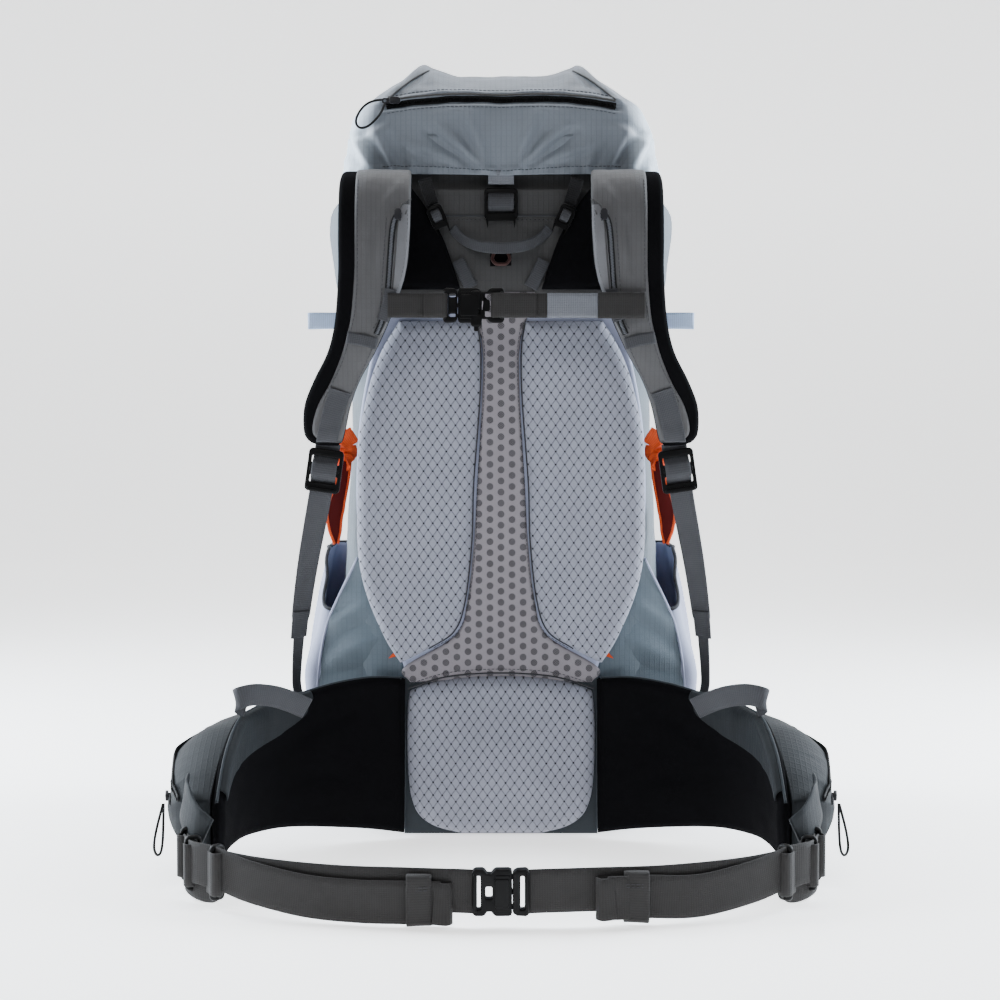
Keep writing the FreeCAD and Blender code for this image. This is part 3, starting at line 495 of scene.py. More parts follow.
CLOTH = {
    # the lid's paler ends are a painted highlight of the rim lights on its sides
    "lid_ripstop": ripstop("lid_ripstop", linear(106, 113, 122), sheen=0.1, rough=0.48,
                           ends=linear(192, 206, 219)),
    "body_ripstop": ripstop("body_ripstop", linear(82, 94, 104), sheen=0.08),
    "strap_ripstop": ripstop("strap_ripstop", linear(74, 74, 76), contrast=0.2, rough=0.6, pitch=0.0046),
    "collar_fabric": ripstop("collar_fabric", linear(56, 56, 57), rough=0.6),
    "panel_fabric": plain_weave("panel_fabric", linear(44, 49, 54)),
    "pad_mesh": air_mesh("pad_mesh", linear(134, 137, 150)),
    "channel_mesh": channel_knit("channel_mesh", linear(126, 122, 128)),
    "black_mesh": plain_weave("black_mesh", linear(12, 12, 14), 0.0, 0.95, 0.5, shine=0.03),
    "strap_pocket": plain_weave("strap_pocket", linear(98, 99, 103)),
    "pocket_fabric": plain_weave("pocket_fabric", linear(148, 154, 178), 0.1),
    "hip_fabric": ripstop("hip_fabric", linear(36, 39, 42), sheen=0.0, rough=0.62, shine=0.12,
                          contrast=0.1),
    "webbing": webbing_cloth("webbing", linear(62, 63, 67)),
    # pale webbing: the zip coils' own colour; on the lid tab and the sternum strap's tail it also carries
    # painted light
    "pale_webbing": webbing_cloth("pale_webbing", linear(104, 107, 114)),
    "dark_webbing": webbing_cloth("dark_webbing", linear(20, 20, 22)),
    "belt_webbing": webbing_cloth("belt_webbing", linear(44, 43, 43)),
    "side_webbing": webbing_cloth("side_webbing", linear(176, 196, 228)),
    "accent_fabric": webbing_cloth("accent_fabric", linear(222, 84, 40)),
    "dark_red": plain_weave("dark_red", linear(80, 8, 5)),
    "cord": plain_weave("cord", linear(16, 16, 18), 0.05, 0.7, 0.5),
    "loop_brown": plain_weave("loop_brown", linear(66, 44, 42), 0.05, 0.6, 0.5),
    "plastic": moulded("plastic", linear(8, 8, 9)),
    "zip_metal": moulded("zip_metal", linear(34, 34, 37), 0.3),
    "zip_tape": plain_weave("zip_tape", linear(18, 19, 21)),
    "stay_metal": moulded("stay_metal", linear(150, 152, 156), 0.35),
    "sheet_plastic": moulded("sheet_plastic", linear(40, 42, 46), 0.5),
}


# ---- outlines, ribbons, tubes and plates ---------------------------------------------------------

def rounded_ring(x0, x1, y0, y1, radius, z, sides=(40, 20), corner=10):
    """A rectangle with round corners as a ring of points, from the -Y side round by +X."""
    across, along = sides
    radius = min(radius, 0.49 * (x1 - x0), 0.49 * (y1 - y0))
    ring = []
    spots = [(x1 - radius, y0 + radius, -90, (x0 + radius, y0), across),
             (x1 - radius, y1 - radius, 0, (x1, y0 + radius), along),
             (x0 + radius, y1 - radius, 90, (x1 - radius, y1), across),
             (x0 + radius, y0 + radius, 180, (x0, y1 - radius), along)]
    for cx, cy, start, (sx, sy), count in spots:
        a = math.radians(start)
        ex, ey = cx + radius * math.cos(a), cy + radius * math.sin(a)
        for t in np.linspace(0, 1, count, endpoint=False):
            ring.append((sx + (ex - sx) * t, sy + (ey - sy) * t, z))
        for a in np.radians(np.linspace(start, start + 90, corner, endpoint=False)):
            ring.append((cx + radius * math.cos(a), cy + radius * math.sin(a), z))
    return np.array(ring)


def section_rings(sections, rows, **counts):
    """Rings through sections of (z, half width, y0, y1, corner radius), in millimetres."""
    return np.array([rounded_ring(-half, half, y0, y1, radius, z, **counts)
                     for z, half, y0, y1, radius in through(sections, rows)]) * MM


def ring_normals(rings):
    """Outward directions of a skin of rings that run anticlockwise seen from above."""
    round_the_ring = np.roll(rings, -1, axis=1) - np.roll(rings, 1, axis=1)
    up = np.gradient(rings, axis=0)
    out = np.cross(round_the_ring, up)
    return out / np.maximum(np.linalg.norm(out, axis=-1, keepdims=True), 1e-9)


def ribbon(path, across, width, thickness):
    """A webbing strip with rolled edges. Returns points, faces and where each point lies on the
    strip: across it and along it, in metres."""
    path = np.asarray(path, float)
    across = np.broadcast_to(np.asarray(across, float), path.shape).copy()
    ahead = np.gradient(path, axis=0)
    ahead /= np.linalg.norm(ahead, axis=1, keepdims=True)
    across -= ahead * np.sum(across * ahead, axis=1, keepdims=True)
    across /= np.linalg.norm(across, axis=1, keepdims=True)
    face = np.cross(ahead, across)
    width = np.broadcast_to(width, len(path))
    bevel = thickness * 0.35
    inner = np.linspace(-1, 1, 7)
    profile = [(-1, 0, 0)] + [(u, -bevel, 1) for u in inner]
    profile += [(1, 0, 0)] + [(u, -bevel, -1) for u in inner[::-1]]
    rings, lie = [], []
    run = np.concatenate([[0], np.cumsum(np.linalg.norm(np.diff(path, axis=0), axis=1))])
    for u, shrink, side in profile:
        reach = u * (width / 2 + shrink)
        rings.append(path + across * reach[:, None] + face * (side * thickness / 2))
        lie.append(np.stack([reach, run, np.zeros(len(path))], axis=1))
    rings, lie = np.array(rings).transpose(1, 0, 2), np.array(lie).transpose(1, 0, 2)
    points, faces = tube_mesh(rings)
    return points, faces, lie.reshape(-1, 3)


def piece(name, part, cloth, body, replaced=(), smooth=True):
    """One piece from (points, faces), in a cloth of the table."""
    points, faces = part
    obj = mesh_object(name, points, faces, CLOTH[cloth], smooth=smooth)
    return finish_piece(obj, body, replaced)


def webbing_piece(name, strips, cloth, body=None, replaced=()):
    """One piece from several ribbons. Without a body it's left to the caller to say what it follows."""
    points, faces = joined([(p, f) for p, f, _ in strips])
    obj = mesh_object(name, points, faces, CLOTH[cloth])
    lie = obj.data.attributes.new("lie", "FLOAT_VECTOR", "POINT")
    lie.data.foreach_set("vector", np.concatenate([l for _, _, l in strips]).ravel())
    if body:
        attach(obj, body)
    if replaced:
        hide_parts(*replaced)
    return obj


def mirrored(part):
    """The other side's twin of a part (points, faces) or of a strip, which also has its lie."""
    points, faces, *lie = part
    return (np.asarray(points) * (-1, 1, 1), [face[::-1] for face in faces], *lie)


def unchanged(part):
    return part


def pair(part):
    """A part and its twin as one."""
    return joined([part, mirrored(part)])


def both_sides(strips):
    return strips + [mirrored(strip) for strip in strips]


def tube(path, radius, sides=8):
    path = np.asarray(path, float)
    ahead = np.gradient(path, axis=0)
    ahead /= np.linalg.norm(ahead, axis=1, keepdims=True)
    side = np.cross(ahead[0], (0.31, 0.52, 0.79))
    rings = []
    for spot, forward in zip(path, ahead):
        side = side - forward * (side @ forward)
        side /= np.linalg.norm(side)
        other = np.cross(forward, side)
        turns = np.linspace(0, 2 * math.pi, sides, endpoint=False)
        rings.append(spot + radius * (np.cos(turns)[:, None] * side + np.sin(turns)[:, None] * other))
    return tube_mesh(np.array(rings))


def zip_coil(track, turns, steps, sideways, off, outwards, radius=0.0004):
    """Teeth wound round a line in the given number of turns: sideways and outwards are how far they
    swing, and off is how far their middle stands from the line."""
    angle = np.linspace(0, 2 * math.pi * turns, turns * steps)
    at = np.linspace(0, angle[-1], len(track))
    line = np.stack([np.interp(angle, at, track[:, k]) for k in range(3)], axis=1)
    swing = np.outer(np.sin(angle), sideways) + (np.array(off) + np.outer(np.cos(angle), outwards))
    return tube(line + swing, radius, 5)


def stitches(path, dash=0.0028, gap=0.0014, radius=0.00032):
    """A row of thread dashes along a line."""
    path = np.asarray(path, float)
    run = np.concatenate([[0], np.cumsum(np.linalg.norm(np.diff(path, axis=0), axis=1))])
    parts = []
    for start in np.arange(gap, run[-1] - dash, dash + gap):
        at = np.linspace(start, start + dash, 3)
        parts.append(tube(np.stack([np.interp(at, run, path[:, k]) for k in range(3)], axis=1), radius, 5))
    return joined(parts)


def rounded_rectangle(width, height, radius, middle=(0, 0), steps=5):
    points = []
    for cx, cy, start in ((1, 1, 0), (-1, 1, 90), (-1, -1, 180), (1, -1, 270)):
        for turn in np.radians(np.linspace(start, start + 90, steps)):
            points.append((middle[0] + cx * (width / 2 - radius) + radius * math.cos(turn),
                           middle[1] + cy * (height / 2 - radius) + radius * math.sin(turn)))
    return points


def plate(outlines, thickness, bevel=0.6):
    """A moulded plate with round edges in the XY plane; the first outline is its edge, the rest holes.
    Millimetres in, metres out."""
    curve = bpy.data.curves.new("plate", "CURVE")
    curve.dimensions = "2D"
    curve.fill_mode = "BOTH"
    curve.extrude = (thickness / 2 - bevel) * MM
    curve.bevel_depth = bevel * MM
    curve.bevel_resolution = 2
    curve.offset = -bevel * MM
    for outline in outlines:
        spline = curve.splines.new("POLY")
        spline.points.add(len(outline) - 1)
        for point, (x, y) in zip(spline.points, outline):
            point.co = (x * MM, y * MM, 0, 1)
        spline.use_cyclic_u = True
    holder = bpy.data.objects.new("plate", curve)
    mesh = bpy.data.meshes.new_from_object(holder)
    bm = bmesh.new()
    bm.from_mesh(mesh)
    bmesh.ops.remove_doubles(bm, verts=bm.verts, dist=1e-6)
    bmesh.ops.recalc_face_normals(bm, faces=bm.faces)
    points = np.array([v.co[:] for v in bm.verts])
    faces = [tuple(v.index for v in f.verts) for f in bm.faces]
    bm.free()
    bpy.data.objects.remove(holder)
    bpy.data.curves.remove(curve)
    bpy.data.meshes.remove(mesh)
    return points, faces


def set_in(part, origin, x_axis, y_axis):
    """Moves a part made about its own origin to a place given in millimetres."""
    points, faces = part
    x_axis = np.array(x_axis, float)
    x_axis /= np.linalg.norm(x_axis)
    z_axis = np.cross(x_axis, y_axis)
    z_axis /= np.linalg.norm(z_axis)
    y_axis = np.cross(z_axis, x_axis)
    return points @ np.array([x_axis, y_axis, z_axis]) + np.array(origin) * MM, faces


SHARP_ANGLE = 35


def hard_piece(name, parts, slot, body, replaced=()):
    """One moulded piece from several parts, with sharp edges kept."""
    points, faces = joined(parts)
    obj = mesh_object(name, points, faces, CLOTH[slot])
    obj.data.set_sharp_from_angle(angle=math.radians(SHARP_ANGLE))
    return finish_piece(obj, body, replaced)


class Surface:
    """A skin that lines and ribbons can be laid on."""

    def __init__(self, part):
        points, faces = part
        self.tree = BVHTree.FromPolygons([tuple(p) for p in points], faces)

    def lay(self, path, lift=0.0, towards=(0, 1, 0)):
        """Points of the skin met by lines through the path, raised along the skin's own facing."""
        towards = Vector(towards).normalized()
        laid = []
        for spot in np.asarray(path, float):
            hit, normal, _, _ = self.tree.ray_cast(Vector(spot) - towards, towards)
            if hit is None:
                hit, normal, _, _ = self.tree.find_nearest(Vector(spot))
            if normal.dot(towards) > 0:
                normal = -normal
            laid.append(hit + normal * lift)
        return np.array([tuple(p) for p in laid])


def front_line(points, count, y=-0.3):
    """A smooth line given as (x, z) in millimetres, ready to lay on something from the harness side."""
    line = through(np.array(points, float) * MM, count)
    return np.stack([line[:, 0], np.full(count, y), line[:, 1]], axis=1)


def edge_distance(x, z, outline):
    """Distance of points from a closed outline given in metres."""
    best = np.full(np.shape(x), 9.0)
    for (ax, az), (bx, bz) in zip(outline, np.roll(outline, -1, axis=0)):
        length = max((bx - ax) ** 2 + (bz - az) ** 2, 1e-12)
        t = np.clip(((x - ax) * (bx - ax) + (z - az) * (bz - az)) / length, 0, 1)
        best = np.minimum(best, np.hypot(x - ax - t * (bx - ax), z - az - t * (bz - az)))
    return best


def side_spread(count):
    """Values from 0 to 1 that crowd towards both ends."""
    return 0.5 - 0.5 * np.cos(np.linspace(0, math.pi, count))


def crowned(left, right, rear, thickness, round_edge, crown=0.0, rows=110, cols=60, lift=None):
    """A padded layer on a flat back: left and right edges are (x, z) in millimetres from low to high.
    The edge rolls over within round_edge and the middle swells by crown more."""
    low, high = left[0][1], left[-1][1]
    z = (low + (high - low) * side_spread(rows)) * MM
    x_left, x_right = width_at(np.array(left) * MM, z), width_at(np.array(right) * MM, z)
    spread = side_spread(cols)
    x = x_left[:, None] + (x_right - x_left)[:, None] * spread
    z = np.broadcast_to(z[:, None], x.shape)
    outline = np.concatenate([np.stack([x_left, z[:, 0]], 1), np.stack([x_right, z[:, 0]], 1)[::-1]])
    distance = edge_distance(x, z, outline[::2])
    roll = roll_over(distance, round_edge)
    swell = smooth_step(distance, 0, distance.max())
    depth = roll * thickness * MM + swell * crown * MM
    front = np.stack([x, rear * MM - depth, z], axis=-1)
    if lift is not None:
        front[..., 1] -= lift(front) * roll
    back = np.stack([x, np.full(x.shape, rear * MM), z], axis=-1)
    return closed_sheet(front, back)


# ---- the bag and its collar ----------------------------------------------------------------------

# z, half width, harness side, far side and corner radius of each level, in millimetres
BAG = [(0, 120, -98, 96, 40), (10, 138, -112, 110, 45), (40, 152, -119, 124, 50), (110, 158, -120, 130, 50),
       (190, 160, -120, 133, 52), (300, 158, -120, 134, 52), (450, 152, -120, 130, 52),
       (560, 168, -120, 126, 52), (620, 174, -120, 122, 50), (645, 159, -118, 118, 48)]
COLLAR = [(645.3, 146, -117, 115, 44), (665, 144, -116, 114, 44), (692, 138, -112, 110, 44)]
LID = [(660, 159, -133, 141, 40), (690, 156, -136, 141, 40), (722, 144, -134, 130, 34),
       (745, 121, -120, 104, 32), (762, 99, -100, 74, 30), (770, 86, -84, 56, 28)]
WALL = 2.2
# how far round the bag, from 0 to 1, its two far corners with piped seams are
FAR_CORNERS = (0.42, 0.66)
PIPING, PIPING_RISE, THREAD_RISE = 0.0016, 0.0006, 0.0004
# start and end (x, z), width and height of each fold on the far side
BAG_FOLDS = (((150, 560), (128, 300), 9, 2.2), ((-150, 520), (-120, 330), 8, 2),
             ((60, 250), (150, 120), 10, 2), ((-40, 600), (30, 420), 12, 1.6),
             ((-140, 200), (-60, 90), 10, 1.8))


def inset(sections, amount):
    return [(z, half - amount, y0 + amount, y1 - amount, max(radius - amount, 4))
            for z, half, y0, y1, radius in sections]


def bag():
    rings = section_rings(BAG, 110, sides=(50, 44), corner=14)
    out = ring_normals(rings)
    free = smooth_step(rings[..., 1], -0.118, -0.098)
    stretched = rings * (1, 1, 0.55)
    folds = 0.0017 * noise_at(stretched, 0.06) + 0.0009 * noise_at(rings, 0.02, 7)
    for start, end, width, height in BAG_FOLDS:
        folds += crease(rings, start, end, width, height) * smooth_step(rings[..., 1], 0.0, 0.1)
    outer = rings + out * (folds * free)[..., None]
    inner = section_rings(inset(BAG, WALL)[1:], 40, sides=(50, 44), corner=14)[::-1]
    piece("bag_body", tube_mesh(np.concatenate([outer, inner])), "body_ripstop", "pack", ["pack_bag"])

    # piped seams run up the far corners and round the bottom panel
    count = rings.shape[1]
    far_corners = [int(count * share) for share in FAR_CORNERS]
    piping = [tube(outer[4:, column] + out[4:, column] * PIPING_RISE, PIPING) for column in far_corners]
    level = outer[14] + out[14] * PIPING_RISE
    piping.append(tube(np.vstack([level, level[:1]]), PIPING))
    piece("bag_piping", joined(piping), "collar_fabric", "pack")
    threads = [stitches(outer[6:, column + step] + out[6:, column + step] * THREAD_RISE)
               for column in far_corners for step in (-1, 1)]
    piece("bag_stitching", joined(threads), "webbing", "pack")


def collar():
    rings = section_rings(COLLAR, 26, sides=(60, 44), corner=14)
    out = ring_normals(rings)
    height = smooth_step(rings[..., 2], 0.650, 0.690)
    turn = np.arctan2(rings[..., 1], rings[..., 0])
    gathers = 0.0010 * np.sin(turn * 58 + 2 * np.sin(turn * 5)) * height + 0.0006 * noise_at(rings, 0.02)
    outer = rings + out * (gathers - 0.0006)[..., None]
    skin = np.concatenate([outer, (rings - out * 0.0028)[::-1]])
    piece("collar_sleeve", tube_mesh(skin, caps=False), "collar_fabric", "pack", ["collar"])


# ---- the lid -------------------------------------------------------------------------------------

ZIP_LEVEL, ZIP_DROOP, ZIP_DIP = 0.7345, 0.0095, 0.0018
# how far above the zip its flap's edge is, and how far the stitched rows are below and above it
FLAP_RISE, ROW_BELOW, ROW_ABOVE = 0.0058, 0.0075, 0.0105
# start and end (x, z), width and height of each fold on the right half of the lid's front
LID_FOLDS = [((14, 664), (62, 706), 6, 3.6), ((20, 663), (96, 690), 7, 2.4), ((13, 668), (32, 716), 6, 2.0),
             ((104, 664), (122, 700), 8, 3.4), ((128, 668), (146, 700), 7, 3.0),
             ((84, 664), (92, 684), 5, 1.6), ((40, 722), (108, 716), 6, 1.4),
             ((112, 705), (148, 690), 7, 2.2)]


def zip_height(x):
    """Height of the lid's zip line at x, in metres: it droops to both ends and dips in the middle."""
    return ZIP_LEVEL - ZIP_DROOP * np.abs(x / 0.118) ** 3 - ZIP_DIP * np.exp(-(x / 0.03) ** 2)


CAP_RINGS = 14


def lid_shape():
    """Rings of the lid's skin from its hem to the middle of its top."""
    rings = section_rings(LID, 120, sides=(110, 60), corner=20)
    centre = np.array([0, -0.014, 0.770])
    cap = [centre + (rings[-1] - centre) * (scale, scale, 1)
           for scale in np.linspace(0.93, 0.04, CAP_RINGS)]
    rings = np.concatenate([rings, np.array(cap)])
    x, y, z = rings[..., 0], rings[..., 1], rings[..., 2]
    out = ring_normals(rings)
    out[-CAP_RINGS:] = (0, 0, 1)
    front = 1 - smooth_step(y, -0.128, -0.085)
    side = smooth_step(np.abs(x), 0.11, 0.15)
    lift = 0.0014 * noise_at(rings * (1, 1, 0.7), 0.05, 3) + 0.0007 * noise_at(rings, 0.016, 9)
    lift += side * 0.0022 * noise_at(rings, 0.028, 21)
    for (x0, z0), (x1, z1), width, height in LID_FOLDS:
        for sign in (-1, 1):
            # each fold has a valley along its outer side
            bump = crease(rings, (sign * x0, z0), (sign * x1, z1), width * 0.85, height * 1.6)
            valley = crease(rings, (sign * (x0 + 10), z0 + 1), (sign * (x1 + 12), z1 - 3), width * 0.85,
                            height * 1.3)
            lift += (bump - valley) * np.maximum(front, side * (y < 0.02))
    for sign in (-1, 1):
        # a sharp tuck runs from each top corner to the end of the zip
        lift += crease(rings, (sign * 76, 771), (sign * 116, 733), 4.5, 3.2)
        lift -= crease(rings, (sign * 70, 766), (sign * 106, 737), 4, 3.4)
        lift += crease(rings, (sign * 74, 768), (sign * 58, 742), 7, 2.4) * front
        lift += crease(rings, (sign * 100, 745), (sign * 20, 741), 4, 1.4) * front
    band = np.exp(-((z - zip_height(x)) / 0.0042) ** 4) * front * (1 - smooth_step(np.abs(x), 0.112, 0.124))
    past_zip = smooth_step(np.abs(x), 0.114, 0.13)
    lip = np.exp(-((z - zip_height(x) - 0.0062) / 0.0022) ** 2) * front * (1 - past_zip)
    lift += lip * 0.0022 - band * 0.0030
    hem = 1 - smooth_step(z, 0.6675, 0.6695)
    lift += hem * (0.0009 + 0.0007 * np.sin(x / 0.0022 + 1.5 * np.sin(x / 0.013)) * front)
    rings = rings + out * lift[..., None]
    rings[..., 2] -= 0.0060 * (1 - smooth_step(np.abs(x), 0.040, 0.070)) * smooth_step(z, 0.738, 0.768)
    rings[..., 2] += 0.0058 * np.exp(-((np.abs(x) - 0.080) / 0.013) ** 2) * smooth_step(z, 0.745, 0.768)
    rings[..., 2] -= 0.0012 * np.exp(-(x / 0.028) ** 2) * front * (1 - smooth_step(z, 0.662, 0.69))
    return rings


def lid():
    outer = lid_shape()
    inner = section_rings(inset([LID[1], LID[0]], WALL), 12, sides=(110, 60), corner=20)
    inner[..., 2] = np.linspace(0.6985, 0.6605, 12)[:, None]
    skin = tube_mesh(np.concatenate([inner, outer]))
    piece("lid_cover", skin, "lid_ripstop", "lid", ["lid_shell"])

    surface = Surface(skin)
    x = np.linspace(-0.113, 0.113, 240)
    middle = np.stack([x, np.full(240, -0.3), zip_height(x)], axis=1)
    track = surface.lay(middle, 0.0007)
    tape = ribbon(track, (0, 0.12, 1), 0.0082, 0.0008)
    piece("lid_zip_tape", tape[:2], "zip_tape", "lid", ["lid_zip"])
    coil = zip_coil(track, 150, 9, (0, 0, 0.0015), (0, -0.0009, 0), (0, -0.0006, 0), 0.00042)
    piece("lid_zip_coil", coil, "plastic", "lid")

    # piping under the flap, tucks at the corners and the stitched hem
    edge = middle + (0, 0, FLAP_RISE)
    lines = [tube(surface.lay(edge, 0.0007), 0.0011)]
    for sign in (-1, 1):
        tuck = front_line([(sign * 72, 768), (sign * 88, 757), (sign * 104, 742), (sign * 113, 733)], 40)
        lines.append(tube(surface.lay(tuck, 0.0002), 0.0010))
    piece("lid_piping", joined(lines), "collar_fabric", "lid")
    hem_line = front_line([(-118, 667.5), (-60, 667), (-20, 664), (0, 663), (20, 664), (60, 667),
                           (118, 667.5)], 260)
    rows = [stitches(surface.lay(hem_line, 0.0004)),
            stitches(surface.lay(middle - (0, 0, ROW_BELOW), 0.0003)),
            stitches(surface.lay(middle + (0, 0, ROW_ABOVE), 0.0003))]
    piece("lid_stitching", joined(rows), "webbing", "lid")


# ---- back panel, pads and channel mesh -----------------------------------------------------------

BACK = -120.4
PANEL_FACE = BACK - 6
PAD_BACK = PANEL_FACE - 0.3
SIMULATED_FRAMES, PAD_PRESSURE, MOST_SWELL = 20, 3.0, 0.002
# outer and inner edge of the left back cushion, (x, z) from low to high
PAD_OUTER = [(-101, 176), (-116, 200), (-135, 246), (-143, 290), (-143, 345), (-141.5, 400), (-131, 452),
             (-118, 488), (-101, 516)]
PAD_INNER = [(-99, 176), (-72, 190), (-47, 207), (-36, 236), (-29, 296), (-27, 356), (-21, 436), (-20, 486),
             (-24, 516)]


def mirrored_edge(edge):
    return [(-x, z) for x, z in edge]


def plain_layer(name, edge, rear, thickness, cloth, replaced, roll=4, **extra):
    """A flat layer on the bag's back, given by its left edge."""
    piece(name, crowned(edge, mirrored_edge(edge), rear, thickness, roll, **extra), cloth, "pack", replaced)


def swollen(obj):
    """Blows a padded skin up a little with a cloth simulation, and keeps every point near its start."""
    scene = bpy.context.scene
    start = np.array([v.co[:] for v in obj.data.vertices])
    cloth = obj.modifiers.new("cloth", "CLOTH")
    cloth.settings.quality = 5
    cloth.settings.mass = 0.3
    cloth.settings.tension_stiffness = 40
    cloth.settings.compression_stiffness = 8
    cloth.settings.bending_stiffness = 3
    cloth.settings.use_pressure = True
    cloth.settings.uniform_pressure_force = PAD_PRESSURE
    cloth.settings.effector_weights.gravity = 0
    pinned = obj.vertex_groups.new(name="back")
    rear = start[:, 1].max()
    pinned.add([int(i) for i in np.nonzero(start[:, 1] > rear - 0.0015)[0]], 1.0, "REPLACE")
    cloth.settings.vertex_group_mass = "back"
    for number in range(1, SIMULATED_FRAMES + 1):
        scene.frame_set(number)
    shaped = obj.evaluated_get(bpy.context.evaluated_depsgraph_get()).to_mesh()
    end = np.array([v.co[:] for v in shaped.vertices])
    obj.modifiers.remove(cloth)
    move = end - start
    reach = np.linalg.norm(move, axis=1, keepdims=True)
    move *= np.minimum(1, MOST_SWELL / np.maximum(reach, 1e-9))
    obj.data.vertices.foreach_set("co", (start + move).ravel())
    obj.data.update()
    scene.frame_set(1)


def back_pads():
    for side, sign in SIDES:
        outer, inner = PAD_OUTER, PAD_INNER
        if sign > 0:
            outer, inner = mirrored_edge(PAD_INNER), mirrored_edge(PAD_OUTER)
        part = crowned(outer, inner, PAD_BACK, 11.5, 13, crown=4.5,
                       lift=lambda p: 0.0006 * noise_at(p, 0.045, 4))
        obj = mesh_object("back_cushion_" + side, *part, CLOTH["pad_mesh"])
        swollen(obj)
        finish_piece(obj, "pack", ["back_pad_" + side])


def back_system():
    flank = [(-96, 3), (-96, 90), (-96, 164), (-113, 205), (-141, 290), (-143, 395), (-130, 478),
             (-112, 530), (-97, 560), (-97, 641)]
    plain_layer("back_panel_cover", flank, BACK, 5.8, "pocket_fabric", ["back_panel"], rows=160)
    foot = [(-97, 3), (-96.5, 90), (-97, 168)]
    plain_layer("lumbar_base_cloth", foot, PANEL_FACE + 0.4, 1.4, "panel_fabric", [], 2)
    top = [(-104, 541), (-97, 562), (-97.5, 610), (-97.5, 646.5)]
    plain_layer("top_panel_cloth", top, PANEL_FACE + 0.4, 1.2, "collar_fabric", [], 2,
                lift=lambda p: 0.0006 * noise_at(p, 0.03, 2))
    seam = front_line([(-96, 620), (96, 620)], 80, y=(PANEL_FACE - 1.3) * MM)
    lower_row = stitches(front_line([(-90, 556), (90, 556)], 60, y=(PANEL_FACE - 0.5) * MM))
    seam_parts = joined([tube(seam, 0.0009), stitches(seam - (0, 0, 0.004)), lower_row])
    piece("top_panel_seam", seam_parts, "webbing", "pack")

    waist = [(-91, 156), (-97, 171), (-46, 203), (-34, 236), (-27, 296), (-24, 350), (-18, 480), (-30, 530),
             (-34, 545)]
    plain_layer("channel_mesh_panel", waist, PAD_BACK, 3.4, "channel_mesh", ["center_mesh"], rows=200,
                cols=70, lift=lambda p: 0.0004 * noise_at(p, 0.03, 8))
    back_pads()

    left = [(-40, 4), (-64, 10), (-80, 20), (-88, 34), (-92, 55), (-94, 100), (-92, 141), (-86, 150),
            (-60, 158), (-30, 162), (-4, 163)]
    part = crowned(left, mirrored_edge(left), PAD_BACK, 14, 15, crown=7.5, cols=90, rows=130,
                   lift=lambda p: 0.0008 * noise_at(p, 0.06, 5))
    obj = mesh_object("lumbar_cushion", *part, CLOTH["pad_mesh"])
    swollen(obj)
    finish_piece(obj, "pack", ["lumbar_pad"])

    # double seams: a welt in the groove beside each cushion, and a row of thread beside it
    welts, threads = [], []
    for sign in (-1, 1):
        line = front_line([(sign * -x, z) for x, z in PAD_INNER[1:]], 200, y=(PAD_BACK - 4.2) * MM)
        welts.append(tube(line, 0.0007))
        threads.append(stitches(line + (sign * -0.0036, 0.0002, 0)))
    arch = front_line([(-93, 150), (-60, 160.5), (-30, 164.5), (0, 165.5), (30, 164.5), (60, 160.5),
                       (93, 150)], 160, y=(PAD_BACK - 4.0) * MM)
    welts.append(tube(arch, 0.0008))
    threads.append(stitches(arch + (0, 0, 0.004)))
    piece("back_welts", joined(welts), "webbing", "pack")
    piece("back_stitching", joined(threads), "webbing", "pack")


# ---- side pockets, gussets, tabs and accents -----------------------------------------------------

POUCH_WALL = 1.6
# z, outer and inner x, y of the harness side and far side, and corner radius of the left pocket
POUCH = [(50, -178, -158.5, -88, 40, 8), (100, -193, -161, -92, 52, 12), (156, -201, -163, -95, 58, 14),
         (205, -196, -163, -95, 58, 13), (284, -181, -159, -94, 56, 9)]


# start and end (x, z) and height of each fold in the left gusset
GUSSET_FOLDS = (((-132, 236), (-170, 212), 3), ((-118, 200), (-172, 178), 3.4),
                ((-120, 178), (-176, 160), -3), ((-128, 220), (-168, 196), -2.6),
                ((-118, 160), (-176, 134), 3), ((-116, 140), (-170, 112), 2.6))


